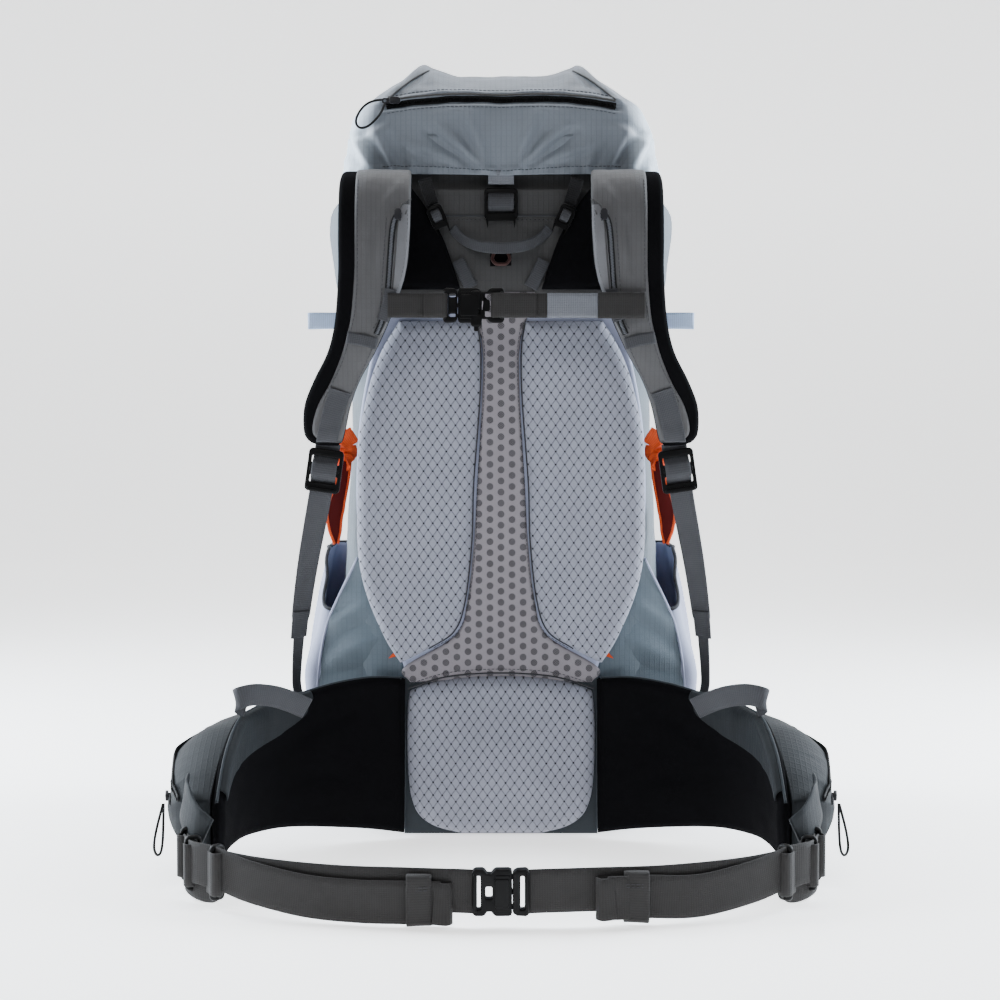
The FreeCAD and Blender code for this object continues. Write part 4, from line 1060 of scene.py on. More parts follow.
def side_pockets():
    parts = []
    for shrink in (0, POUCH_WALL):
        inward = np.array((0, shrink, -shrink, shrink, -shrink, 0))
        levels = through(np.array(POUCH) + inward, 60)
        parts.append(np.array([rounded_ring(x0, x1, y0, y1, r, z, sides=(12, 50), corner=10)
                               for z, x0, x1, y0, y1, r in levels]) * MM)
    outer, inner = parts
    out = ring_normals(outer)
    folds = 0.0015 * noise_at(outer * (1, 1.4, 0.5), 0.04, 6)
    folds += 0.0008 * np.sin(outer[..., 1] / 0.0045) * smooth_step(outer[..., 2], 0.24, 0.284)
    outer = outer + out * (folds * (outer[..., 0] < -0.164))[..., None]
    # the mouth is cut lower towards the harness, where a bottle goes in
    for rings in (outer, inner):
        forward = 1 - smooth_step(rings[..., 1], -0.10, -0.03)
        rings[..., 2] -= 0.06 * forward * smooth_step(rings[..., 2], 0.13, 0.284)
    skin = tube_mesh(np.concatenate([outer, inner[::-1]]))
    piece("side_pocket_pouches", pair(skin), "pocket_fabric", "pack", ["side_pockets"])
    rim = outer[-1] + (0, 0, 0.0004)
    hem = tube(np.vstack([rim, rim[:1]]), 0.0019)
    piece("side_pocket_hems", pair(hem), "webbing", "pack")

    # a ripstop gusset closes the corner between the back panel and each pocket
    heights = np.linspace(0.275, 0.05, 50)
    outside = line_through([(-144, -117, 280), (-153, -110, 262), (-166, -102, 236), (-177, -97, 210),
                            (-184, -95, 176), (-187, -94, 140), (-185, -92, 90), (-174, -90, 50)], 50)
    inside = np.stack([np.full(50, -0.098), np.full(50, -0.1203), heights], axis=1)
    spread = np.linspace(0, 1, 30)[None, :, None]
    front = inside[:, None] * (1 - spread) + outside[:, None] * spread
    crumple = 0.0022 * noise_at(front * (0.6, 1, 1.4), 0.035, 12)
    front[..., 1] -= 0.004 * np.sin(spread[..., 0] * math.pi) + crumple
    for start, end, height in GUSSET_FOLDS:
        front[..., 1] -= crease(front, start, end, 5, height)
    gusset = closed_sheet(front, front + (0, 0.0016, 0))
    seam = tube(outside, 0.0013)
    piece("side_gussets", pair(gusset), "body_ripstop", "pack")
    piece("side_gusset_seams", pair(seam), "pocket_fabric", "pack")


def side_details():
    loop = line_through([(-162, -95.2, 518), (-178, -93.6, 518), (-192, -93.8, 517.5), (-194.2, -96, 517.5),
                         (-192, -98.2, 518), (-178, -98.4, 518), (-162, -96.8, 518)], 70)
    tab = ribbon(loop, (0, 0, 1), 0.0165, 0.0013)
    webbing_piece("compression_tab_loops", both_sides([tab]), "side_webbing", "pack", ["compression_tabs"])

    folded = line_through([(-147, -107.5, 404), (-156, -108, 398), (-163, -107.4, 388), (-158, -104, 381),
                           (-151, -103, 386), (-156, -101, 376), (-165, -100.5, 372)], 60)
    fold = ribbon(folded, (0.55, 0, 0.84), 0.017, 0.0016)
    webbing_piece("accent_strap_folds", both_sides([fold]), "accent_fabric", "pack",
                  ["accent_straps"])
    flap = line_through([(-156, -102, 376), (-162, -102.5, 350), (-168, -101, 322), (-167, -99, 293)], 50)
    wide = np.interp(np.linspace(0, 1, 50), [0, 0.2, 0.6, 0.85, 1], [0.010, 0.015, 0.0195, 0.013, 0.004])
    leaf = ribbon(flap, (0.8, 0.6, 0), wide, 0.0020)
    webbing_piece("accent_strap_flaps", both_sides([leaf]), "dark_red", "pack")
    trims = [ribbon(flap + np.outer(wide * end / 2, (0.8, 0.6, 0)) - (0, 0.0008, 0), (0.8, 0.6, 0), 0.0034,
                    0.0026) for end in (-1, 1)]
    webbing_piece("accent_strap_trims", both_sides(trims), "accent_fabric", "pack")
    # the tips of an orange lining show above the belt
    corner = np.array([(-113, -121.6, 179), (-99, -121.6, 183), (-99, -121.6, 195)]) * MM
    tip = joined([(np.vstack([corner, corner + (0, 0.0012, 0)]),
                   [(0, 1, 2), (5, 4, 3), (0, 3, 4, 1), (1, 4, 5, 2), (2, 5, 3, 0)])])
    piece("lining_tips", pair(tip), "accent_fabric", "pack", smooth=False)


# ---- shoulder straps -----------------------------------------------------------------------------

# y and z of the middle of the left strap, then its outer and inner x, from the tip up over the fold
# and down the rear run to the panel, in millimetres
STRAP = [(-172, 394, -177, -158), (-173, 398, -186, -153.5), (-175, 408, -191, -150.5),
         (-178, 432, -190, -145), (-182.5, 456, -180.5, -136), (-186, 479, -168.5, -123),
         (-188, 497, -162.5, -114), (-189.5, 520, -158.5, -104), (-190, 560, -156, -90.5),
         (-190, 590, -156, -87), (-186, 620, -156, -86), (-175, 642, -156, -86),
         (-162, 651.5, -155.5, -86.5), (-150, 653.5, -155, -88), (-141, 646, -153, -88),
         (-135, 630, -147, -76), (-133, 600, -133, -58.5), (-132.5, 572, -115, -48),
         (-132.5, 547, -98.5, -40)]
# outer edge of the strap's front cover, as (x, z)
FACE_OUTER = [(-170, 396), (-181, 404), (-181.5, 416), (-177, 432), (-168, 448), (-157, 470), (-148, 498),
              (-142.5, 525), (-140, 560), (-140, 662)]
# start and end (x, z), width and height of each fold in the left strap's cover
STRAP_FOLDS = (((-121, 607), (-125, 560), 3.2, -2.0), ((-116, 604), (-119, 562), 5, 1.3),
               ((-151, 440), (-158, 415), 3.0, -2.0), ((-146, 438), (-152, 412), 4, 1.2),
               ((-96, 640), (-112, 622), 5, 1.5), ((-128, 652), (-130, 625), 6, 1.2),
               ((-100, 600), (-99, 545), 5, 1.6), ((-140, 470), (-126, 500), 6, 1.2))
# stitched rows on the left strap, and the outer and inner edge of its pocket's cloth, as (x, z)
STRAP_SEAMS = ([(-137, 650), (-137, 560), (-139, 525), (-144.5, 498), (-153, 471), (-164, 449),
                (-173, 432)], [(-89, 628), (-90, 590), (-95, 556), (-107, 524), (-117, 501), (-128, 476),
                               (-147, 437)], [(-109, 612), (-112, 570), (-116, 520), (-124, 502)])
STRAP_POCKET = ([(-95, 624), (-99.2, 604), (-102.3, 570), (-104.8, 545), (-109, 520), (-116, 500)],
                [(-87.5, 623), (-88, 600), (-91, 565), (-96, 545), (-105, 522), (-113.5, 502)])
PAD_HALF = 6


def strap_grid(stations, rows, cols):
    """Middle points of a strap, the way it faces, and how far each point is from its edge."""
    line = through(stations, rows) * MM
    ahead = np.gradient(line[:, :2], axis=0)
    ahead /= np.linalg.norm(ahead, axis=1, keepdims=True)
    facing = np.stack([np.zeros(rows), -ahead[:, 1], ahead[:, 0]], axis=1)
    spread = side_spread(cols)
    x = line[:, 2:3] + (line[:, 3:4] - line[:, 2:3]) * spread
    middle = np.stack([x, np.repeat(line[:, :1], cols, 1), np.repeat(line[:, 1:2], cols, 1)], axis=-1)
    run = np.concatenate([[0], np.cumsum(np.linalg.norm(np.diff(line[:, :2], axis=0), axis=1))])
    outline = np.concatenate([np.stack([x[:, 0], run], 1), np.stack([x[:, -1], run], 1)[::-1]])
    return middle, facing[:, None], edge_distance(x, np.repeat(run[:, None], cols, 1), outline[::2])


def strap_parts():
    middle, facing, distance = strap_grid(STRAP, 170, 44)
    rear = smooth_step(middle[..., 1], -0.155, -0.142)
    half = (PAD_HALF - 2.7 * rear) * MM
    swell = roll_over(distance, 5.5) * half
    foam = swell + 0.0006 * noise_at(middle, 0.03, 14)
    body = closed_sheet(middle + facing * foam[..., None], middle - facing * swell[..., None])

    front = [station for station in STRAP if station[0] < -155]
    heights = np.array([station[1] for station in front], float)
    outer = width_at(FACE_OUTER, heights)
    face = [(y, z, x, inner - 0.5) for (y, z, _, inner), x in zip(front, outer)][1:]
    middle, facing, distance = strap_grid(face + [(-151, 653.5, -140, -88)], 150, 44)
    wrinkle = 0.0010 * noise_at(middle * (1, 1, 0.6), 0.026, 16) + 0.0005 * noise_at(middle, 0.009, 17)
    for start, end, width, height in STRAP_FOLDS:
        wrinkle += crease(middle, start, end, width, height)
    level = (PAD_HALF - 0.6) * MM + roll_over(distance, 4) * 3.0 * MM + wrinkle * roll_over(distance, 4)
    low = (PAD_HALF - 1.0) * MM
    cover = closed_sheet(middle + facing * level[..., None], middle + facing * low)
    return body, cover


def on_strap(surface, line, count, lift=0.0006):
    return surface.lay(front_line(line, count), lift)


def shoulder_straps():
    body, cover = strap_parts()
    surface = Surface(cover)
    zip_line = on_strap(surface, [(-97, 616), (-102.5, 604), (-105.5, 570), (-108, 540), (-113, 515),
                                  (-119, 500)], 200)
    tape = ribbon(zip_line, (1, 0, 0.15), 0.0062, 0.0009)
    teeth = zip_coil(zip_line, 84, 8, (0.0013, 0, 0), (0, -0.0010, 0), (0, -0.0005, 0))
    welt = tube(on_strap(surface, [(-86, 630), (-91, 626), (-96, 620), (-98.5, 604), (-101, 570),
                                   (-104, 540), (-109, 516), (-115.5, 501)], 120, 0.0004), 0.0009)
    threads = [stitches(on_strap(surface, line, 160, 0.0003)) for line in STRAP_SEAMS]
    outer, inner = [on_strap(surface, line, 60, 0.0005) for line in STRAP_POCKET]
    spread = np.linspace(0, 1, 8)[:, None, None]
    between = outer * (1 - spread) + inner * spread - (0, 0.05, 0)
    sheet = surface.lay(between.reshape(-1, 3), 0.0006).reshape(between.shape)
    pale = closed_sheet(sheet, sheet + (0, 0.0008, 0))
    band = ribbon(on_strap(surface, [(-146.5, 497), (-132, 494.5), (-119, 491)], 40, 0.0010), (0, 0, 1),
                  0.0115, 0.0013)
    sewn = ribbon(on_strap(surface, [(-154, 447), (-160, 430), (-165, 412), (-168, 398)], 50, 0.0011),
                  (1, 0, 0.2), 0.0205, 0.0014)
    rail = ribbon(on_strap(surface, [(-104.5, 543), (-107.5, 529), (-113, 513)], 30, 0.0018), (1, 0, 0),
                  0.0115, 0.0022)
    for side, sign in SIDES:
        turn = mirrored if sign > 0 else unchanged
        strap = "strap_" + side
        pad = mesh_object("strap_foam_" + side, *turn(body), CLOTH["black_mesh"])
        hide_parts("shoulder_pad_" + side, "shoulder_yokes")
        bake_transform(pad)
        face = mesh_object("strap_cover_" + side, *turn(cover), CLOTH["strap_ripstop"])
        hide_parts("shoulder_face_" + side)
        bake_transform(face)
        piece("strap_zip_tape_" + side, turn(tape[:2]), "zip_tape", strap)
        piece("strap_zip_coil_" + side, turn(teeth), "pale_webbing", strap)
        piece("strap_pocket_cloth_" + side, turn(pale), "strap_pocket", strap)
        piece("strap_welt_" + side, turn(welt), "collar_fabric", strap)
        piece("strap_stitching_" + side, turn(joined(threads)), "webbing", strap)
        webbing_piece("strap_webbing_" + side, [turn(band), turn(sewn), turn(rail)], "webbing", strap)
        adjuster(side, turn)


def adjuster(side, turn):
    """Webbing from the strap's tip down to the pack's side."""
    path = line_through([(-174.5, -171.5, 353), (-177, -168.5, 340), (-183, -160, 312), (-190, -149, 279),
                         (-197, -136, 240), (-202, -125, 205), (-206, -112, 165), (-206, -106, 146),
                         (-200, -100, 126), (-190, -95, 106)], 140)
    across = through([(1, 0, 0.12), (1, 0.05, 0.16), (0.95, 0.2, 0.2), (0.85, 0.5, 0.25), (0.6, 0.8, 0.3),
                      (0.6, 0.8, 0.3)], 140)
    width = np.interp(np.linspace(0, 1, 140), [0, 0.52, 0.6, 1], [0.0225, 0.0205, 0.013, 0.010])
    strip = ribbon(path, across, width, 0.0018)
    keeper = ribbon(path[70:86] + (0, -0.0018, 0), across[70:86], 0.0185, 0.0022)
    bending = webbing_piece("adjuster_strap_" + side, [turn(strip), turn(keeper)], "webbing",
                            replaced=["adjuster_webbing_" + side])
    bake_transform(bending)


# ---- locks, small webbing and the haul loop ------------------------------------------------------

def leaned(lean):
    """Directions of a plate's width and height, leaned sideways by an angle in degrees."""
    turn = math.radians(lean)
    return (math.cos(turn), 0, -math.sin(turn)), (math.sin(turn), 0, math.cos(turn))


def lock_parts(width, height, thickness, origin, lean):
    """A ladder lock about its middle: a plate with two slots, a ribbed bar and a thumb lip."""
    slot_width = width - 7
    outlines = [rounded_rectangle(width, height, 4),
                rounded_rectangle(slot_width, height * 0.17, 1.2, (0, height * 0.245)),
                rounded_rectangle(slot_width, height * 0.17, 1.2, (0, -height * 0.2))]
    parts = [plate(outlines, thickness, 1.0)]
    bar = plate([rounded_rectangle(slot_width + 2, height * 0.13, 1.5, (0, height * 0.03))],
                thickness + 1.6, 0.9)
    lip = plate([rounded_rectangle(width * 0.86, height * 0.1, 1.6, (0, -height * 0.44))], thickness + 2.4,
                1.0)
    for number in range(3):
        rib = plate([rounded_rectangle(slot_width, 0.9, 0.3, (0, height * (0.01 + 0.022 * number)))],
                    thickness + 2.4, 0.3)
        parts.append(rib)
    x_axis, y_axis = leaned(lean)
    return [set_in(part, origin, x_axis, y_axis) for part in parts + [bar, lip]]


def lock_webbing(width, steps, origin, lean):
    """Webbing laced through a lock: steps are (up, out) in millimetres from the lock's middle."""
    x_axis, y_axis = leaned(lean)
    line = through(steps, 70) * MM
    path = np.array(origin) * MM + line[:, :1] * np.array(y_axis) + line[:, 1:] * np.array((0, -1, 0))
    return ribbon(path, x_axis, width * MM, 0.0017)


def locks():
    for side, sign in SIDES:
        spot, lean = (sign * 171.5, -174.5, 369), -sign * 8
        hard_piece("shoulder_adjuster_" + side, lock_parts(34, 42, 5, spot, lean), "plastic",
                   "strap_adjuster_" + side, ["shoulder_lock_" + side])
        laced = lock_webbing(24.5, [(27, -2.5), (20, -3.4), (14.5, -3), (10, 0.5), (6, 4.2), (0, 5.2),
                                    (-4.5, 4.3), (-8, 0.5), (-12.5, -3), (-18, -3.6)], spot, lean)
        webbing_piece("shoulder_adjuster_webbing_" + side, [laced], "webbing", "strap_adjuster_" + side)

        spot, lean = (sign * 63, -140, 618), sign * 24
        hard_piece("lifter_adjuster_" + side, lock_parts(16, 22, 4.6, spot, lean), "plastic",
                   "lifter_adjuster_" + side, ["lifter_lock_" + side])
        webbing_piece("lifter_adjuster_webbing_" + side,
                      [lock_webbing(9, [(6, 0), (4, 3.2), (0, 3.8), (-3, 3), (-5, 0)], spot, lean)],
                      "webbing", "lifter_adjuster_" + side)

    spot = (0, -131.5, 631)
    hard_piece("lid_tab_adjuster_lock", lock_parts(33, 31, 5, spot, 0), "plastic", "lid_tab_adjuster",
               ["lid_tab_lock"])
    laced = lock_webbing(25.5, [(14.5, -1.5), (11.5, -0.8), (8.5, 2.5), (5, 5.2), (0, 5.8), (-3.5, 4.6),
                                (-6.5, 0)], spot, 0)
    webbing_piece("lid_tab_fold", [laced], "webbing", "lid_tab_adjuster")
    # painted light: the tab hangs in the lid's shadow, so it is drawn in paler webbing than its own
    tab = ribbon(line_through([(0, -133.6, 664), (0, -132.2, 656), (0, -131.4, 650.4)], 24), (1, 0, 0),
                 0.0255, 0.0018)
    webbing_piece("lid_tab_strap", [tab], "pale_webbing", "pack", ["lid_tab_webbing"])


# the load lifters' webbing below and above their locks, on the right
LIFTER_LOWER = ((29, -129.8, 549), (36, -129.8, 562), (43, -129.6, 576))
LIFTER_UPPER = ((67.5, -136.5, 630), (71, -139, 641), (75, -144, 654))


def small_webbing():
    strips, ends = [], []
    for sign in (-1, 1):
        lower = line_through([(sign * x, y, z) for x, y, z in LIFTER_LOWER], 40)
        upper = line_through([(sign * x, y, z) for x, y, z in LIFTER_UPPER], 24)
        strips.append(ribbon(lower, (0.9, 0, sign * -0.42), 0.0135, 0.0015))
        ends.append(ribbon(upper, (0.9, 0, sign * -0.4), 0.0125, 0.0015))
    webbing_piece("load_lifter_straps", strips, "webbing", "pack", ["load_lifter_webbing"])
    webbing_piece("load_lifter_ends", ends, "dark_webbing", "pack")

    half = [(-48, -129.4, 608), (-43, -130.6, 601.5), (-35, -135.5, 594.5), (-23, -143.5, 589),
            (-10, -149, 586.6)]
    loop = line_through(half + [(0, -150, 586)] + [(-x, y, z) for x, y, z in half[::-1]], 110)
    webbing_piece("haul_loop_strap", [ribbon(loop, (0, -0.25, 1), 0.0112, 0.0019)], "webbing",
                  "haul_handle", ["haul_loop"])
    hang = line_through([(-7, -128.2, 583), (-8.5, -130, 577), (-5, -131, 572.5), (0, -131.2, 572),
                         (5, -131, 572.5), (8.5, -130, 577), (7, -128.2, 583)], 60)
    piece("hang_loop", tube(hang, 0.0018), "loop_brown", "pack")
    patch = crowned([(-11, 570), (-11, 586)], [(11, 570), (11, 586)], PANEL_FACE - 0.2, 1.0, 2, rows=20,
                    cols=24)
    piece("hang_loop_patch", patch, "black_mesh", "pack")


# ---- buckles -------------------------------------------------------------------------------------

# width and thickness of webbing, in metres
STERNUM_WEBBING, LID_WEBBING = (0.0235, 0.0017), (0.0195, 0.0018)


def mirrored_outline(half):
    """Closes an outline given for positive second coordinates."""
    return half + [(x, -y) for x, y in half[::-1]]


def female_parts(length, height, thick, front, slot_at=0.85, slot_width=4):
    """The socket: local X points out of the mouth at 0, local Y across, and front is the side it shows."""
    half, end = height / 2, -length
    shell = mirrored_outline([(end, half - 3), (end + 1, half - 1), (end + 3, half), (end * 0.74, half),
                              (end * 0.68, half - 1), (end * 0.63, half - 3.6), (end * 0.52, half - 3.8),
                              (end * 0.46, half - 1.2), (end * 0.40, half), (-2.5, half), (-0.6, half - 1),
                              (0, half - 3)])
    slot = rounded_rectangle(slot_width, height - 11, 1.2, (end * slot_at, 0))
    window = rounded_rectangle(length * 0.17, height * 0.26, 1.6, (end * 0.58, 0))
    parts = [plate([shell, slot, window], thick - 3, 1.2)]
    for number, reach in enumerate((0.78, 0.62)):
        panel = [(end * 0.44, height * reach / 2 - 2), (end * 0.41, height * reach / 2),
                 (-2 - number, height * reach / 2), (-1.2 - number, height * reach / 2 - 2)]
        raised = plate([mirrored_outline(panel)], 2.2, 0.8)
        raised[0][:, 2] += front * (thick / 2 - 1.9 + 0.8 * number) * MM
        parts.append(raised)
    bar = plate([mirrored_outline([(end + 0.6, half - 5), (end + 1.6, half - 3.5), (end + 3.4, half - 3.5),
                                   (end + 4, half - 5)])], thick - 0.8, 1.2)
    return parts + [bar]


def male_parts(length, height, thick, ovals=False):
    """The plug's base, with a bar for webbing and a shoulder that meets the mouth."""
    half = height / 2
    base = mirrored_outline([(0.4, half - 4), (1.2, half - 2.2), (4, half - 0.4), (11.5, half),
                             (13.4, half - 1.2), (14.2, half - 3)])
    slot = rounded_rectangle(2.8 if ovals else 3.6, height - 11, 1.2, (10.8 if ovals else 8.6, 0))
    holes = [rounded_rectangle(6.4, 3.2, 1.5, (5, side * 9.4)) for side in (-1, 1)] if ovals else []
    parts = [plate([base, slot] + holes, thick - 2.5, 1.2)]
    parts.append(plate([mirrored_outline([(11, half - 4), (11.8, half - 3), (13.2, half - 3),
                                          (13.8, half - 4)])], thick - 0.6, 1.1))
    guide = plate([rounded_rectangle(length * 0.5, 4.4, 1.5, (-length * 0.25 + 1, 0))], thick - 6.6, 0.7)
    return parts + [guide]


def prong_parts(length, height, thick, sign):
    half = height / 2
    arm = [(1.6, half - 8.6), (-length * 0.3, half - 8.9), (-length * 0.46, half - 8.6),
           (-length * 0.5, half - 6.5), (-length * 0.42, half - 4.4), (-length * 0.3, half - 5),
           (-length * 0.12, half - 5.6), (1.6, half - 5)]
    return [plate([[(x, y * sign) for x, y in arm]], thick - 6.6, 0.8)]


def both_prongs(size):
    return prong_parts(*size, 1) + prong_parts(*size, -1)


def put(parts, origin, x_axis, y_axis):
    return [set_in(part, origin, x_axis, y_axis) for part in parts]


# length, height across the webbing and thickness of each buckle
BELT_BUCKLE, STERNUM_BUCKLE, LID_BUCKLE = (33, 39, 14), (44, 33, 10), (30, 32, 10)
# how far along its socket the sternum buckle's webbing slot is, and that slot's width
STERNUM_SLOT = (0.69, 9)


def belt_buckle():
    at = ((9, -457.5, 29.7), (1, 0, 0), (0, 0, 1))
    hard_piece("belt_buckle_socket", put(female_parts(*BELT_BUCKLE, 1), *at), "plastic", "hip_belt",
               ["belt_buckle_female"])
    hard_piece("belt_buckle_plug", put(male_parts(*BELT_BUCKLE), *at), "plastic", "belt_male",
               ["belt_buckle_male"])
    for end, body, sign in (("upper", "belt_prong_up", 1), ("lower", "belt_prong_low", -1)):
        hard_piece("belt_buckle_prong_" + end, put(prong_parts(*BELT_BUCKLE, sign), *at), "plastic", body,
                   ["belt_prong_" + end])


# where the sternum strap's webbing runs: y and z of its middle, then x and the way off it along each side
STERNUM_FRONT, STERNUM_HEIGHT = -202.3, 527
STERNUM_LEFT = [(-108, 0), (-96, -0.8), (-80, -1), (-66, -0.4), (-56, 1.4), (-52, 0), (-51.6, -3.4),
                (-54, -6.2), (-58, -5), (-66, -2.8), (-74, -2.9)]
STERNUM_RIGHT = [(137, 0), (110, -0.4), (90, -0.6), (60, -1.6), (30, -1), (10, 1), (0, 2.8), (-6, 1),
                 (-9, -3.4), (-5, -6.6), (2, -7.8), (9, -5), (20, -3.6), (34, -3.6)]


def sternum_strap():
    at = ((-41, -204, 527), (-1, 0, 0), (0, 0, -1))
    socket = put(female_parts(*STERNUM_BUCKLE, 1, *STERNUM_SLOT), *at)
    whistle = plate([rounded_rectangle(10.5, 34, 2.5, (-17.5, 3.2)),
                     rounded_rectangle(4, 5, 1.5, (-19, 6))], 9.6, 1.4)
    tip = plate([rounded_rectangle(5, 8, 1.5, (-17.5, 20.5))], 6, 1.0)
    socket += put([whistle, tip], *at)
    hard_piece("sternum_buckle_socket", socket, "plastic", "sternum_female", ["sternum_buckle_female"])
    plug = male_parts(*STERNUM_BUCKLE, True) + both_prongs(STERNUM_BUCKLE)
    hard_piece("sternum_buckle_plug", put(plug, *at), "plastic", "sternum", ["sternum_buckle_male"])

    def strip(route, count, width, thickness):
        path = line_through([(x, STERNUM_FRONT + out, STERNUM_HEIGHT) for x, out in route], count)
        return ribbon(path, (0, 0, 1), width, thickness)

    webbing_piece("sternum_strap_left", [strip(STERNUM_LEFT, 110, *STERNUM_WEBBING)], "belt_webbing",
                  "sternum", ["sternum_webbing_left"])
    webbing_piece("sternum_strap_right", [strip(STERNUM_RIGHT, 160, *STERNUM_WEBBING)], "belt_webbing",
                  "sternum_female", ["sternum_webbing_right"])
    keeper = strip([(137.2, -2.6), (114, -3.2), (92, -3.4)], 30, 0.0250, 0.0022)
    hem = strip([(137.4, -1.5), (133, -1.7)], 8, 0.0238, 0.004)
    webbing_piece("sternum_keeper", [keeper, hem], "belt_webbing", "sternum_female")
    # the tail's pale webbing is partly its lighter reverse side and partly a painted highlight along the
    # band
    tail = strip([(94, -2.2), (72, -3.0), (44, -3.4)], 60, 0.0232, 0.0014)
    webbing_piece("sternum_tail", [tail], "pale_webbing", "sternum_female")


# y and z along the webbing on the lid and on the bag, which run straight down at one x
LID_STRAP_X = 90
LID_STRAP = [(142.8, 676), (144.5, 668), (148, 656), (152.5, 638), (153.6, 629), (156.8, 626), (157.5, 632),
             (155, 645)]
ANCHOR_STRAP = [(146.2, 589), (142.6, 575), (137.6, 550), (136.6, 500), (136.4, 430)]


def far_buckles():
    """Two straps close the lid over the far side of the bag."""
    females, males, lids, anchors = [], [], [], []
    for sign in (-1, 1):
        at = ((sign * LID_STRAP_X, 151.6, 615.5), (0, 0.217, 0.976), (1, 0, 0))
        females += put(female_parts(*LID_BUCKLE, -1), *at)
        males += put(male_parts(*LID_BUCKLE) + both_prongs(LID_BUCKLE), *at)
        upper = line_through([(sign * LID_STRAP_X, y, z) for y, z in LID_STRAP], 60)
        lids.append(ribbon(upper, (1, 0, 0), *LID_WEBBING))
        lower = line_through([(sign * LID_STRAP_X, y, z) for y, z in ANCHOR_STRAP], 60)
        anchors.append(ribbon(lower, (1, 0, 0), *LID_WEBBING))
    hard_piece("lid_sockets", females, "plastic", "pack", ["lid_buckle_females"])
    hard_piece("lid_plugs", males, "plastic", "lid", ["lid_buckle_males"])
    webbing_piece("lid_closing_straps", lids, "webbing", "lid", ["lid_straps"])
    webbing_piece("lid_anchor_webbing", anchors, "webbing", "pack", ["lid_anchor_straps"])


# ---- hip belt ------------------------------------------------------------------------------------

# plan (x, y) of the left wing's middle with its lowest and highest z, from the back panel forward
WING = [(-97, -131, 5, 160.5), (-130, -141, 11, 162.5), (-165, -151, 15, 158), (-197, -171, 20, 151),
        (-218, -192, 23, 148), (-236, -222, 25, 144), (-246, -250, 26, 137), (-253, -284, 24.5, 112),
        (-257, -316, 21, 71)]
# the zipped pocket on its outside, with how far it stands out
HIP_POCKET = [(-181, -159, 35, 142, 13), (-197, -172, 34, 143, 25), (-218, -192, 34, 141, 37),
              (-236, -222, 34, 134, 47), (-246, -250, 34, 125, 52), (-252, -284, 31, 104, 46),
              (-256, -314, 25, 75, 36)]

# the pocket's cloth laps over the wing's top onto its inner side
HIP_BAND = [(-188, -165, 146, 153.2), (-197, -171, 130, 151.6), (-218, -192, 116, 148.4),
            (-236, -222, 108, 144.4), (-246, -250, 103, 137.4), (-253, -284, 92, 112.3),
            (-256, -308, 74, 83)]


def wing_grid(stations, rows, cols):
    line = through(stations, rows) * MM
    ahead = np.gradient(line[:, :2], axis=0)
    ahead /= np.linalg.norm(ahead, axis=1, keepdims=True)
    outside = np.stack([ahead[:, 1], -ahead[:, 0], np.zeros(rows)], axis=1)
    spread = side_spread(cols)
    z = line[:, 2:3] + (line[:, 3:4] - line[:, 2:3]) * spread
    middle = np.stack([np.repeat(line[:, :1], cols, 1), np.repeat(line[:, 1:2], cols, 1), z], axis=-1)
    run = np.concatenate([[0], np.cumsum(np.linalg.norm(np.diff(line[:, :2], axis=0), axis=1))])
    outline = np.concatenate([np.stack([run, z[:, 0]], 1), np.stack([run, z[:, -1]], 1)[::-1]])
    return middle, outside[:, None], edge_distance(np.repeat(run[:, None], cols, 1), z, outline[::2]), line


FOAM_ROUND, FOAM_HALF = 7, 6.6
TRIM_RISE, TRIM_THICKNESS = 0.0018, 0.0012
# the pocket's zip: one end of its line, the way it runs, and how far off its slider is at least
HIP_ZIP_END = np.array((-0.3034, -0.303, 0.078))
HIP_ZIP_WAY = np.array((-0.12, 0.90, 0.42))
SLIDER_ROOM, GROOVE_WIDTH = 0.0042, 0.010


def wing_parts():
    """The left wing's foam, the binding along its top and the trim that laps over it."""
    middle, outside, distance, _ = wing_grid(WING, 110, 60)
    swell = roll_over(distance, FOAM_ROUND) * FOAM_HALF * MM
    dents = 0.0012 * noise_at(middle, 0.05, 31) + 0.0005 * noise_at(middle, 0.015, 32)
    for start, end in (((-150, 130), (-230, 95)), ((-140, 60), (-200, 75))):
        dents += crease(middle, start, end, 8, -1.6)
    inner = middle - outside * (swell + dents * roll_over(distance, FOAM_ROUND))[..., None]
    wing = closed_sheet(middle + outside * (swell * 0.9)[..., None], inner)
    binding = tube(middle[1:-1, -1], 0.0014)
    band, facing, _, _ = wing_grid(HIP_BAND, 70, 24)
    rolled = roll_over(band[:, -1:, 2] - band[..., 2], FOAM_ROUND) * 6.8 * MM
    off = TRIM_RISE + rolled + 0.0009 * noise_at(band, 0.014, 47)
    trim = closed_sheet(band - facing * off[..., None], band - facing * (off - TRIM_THICKNESS)[..., None])
    return wing, binding, trim


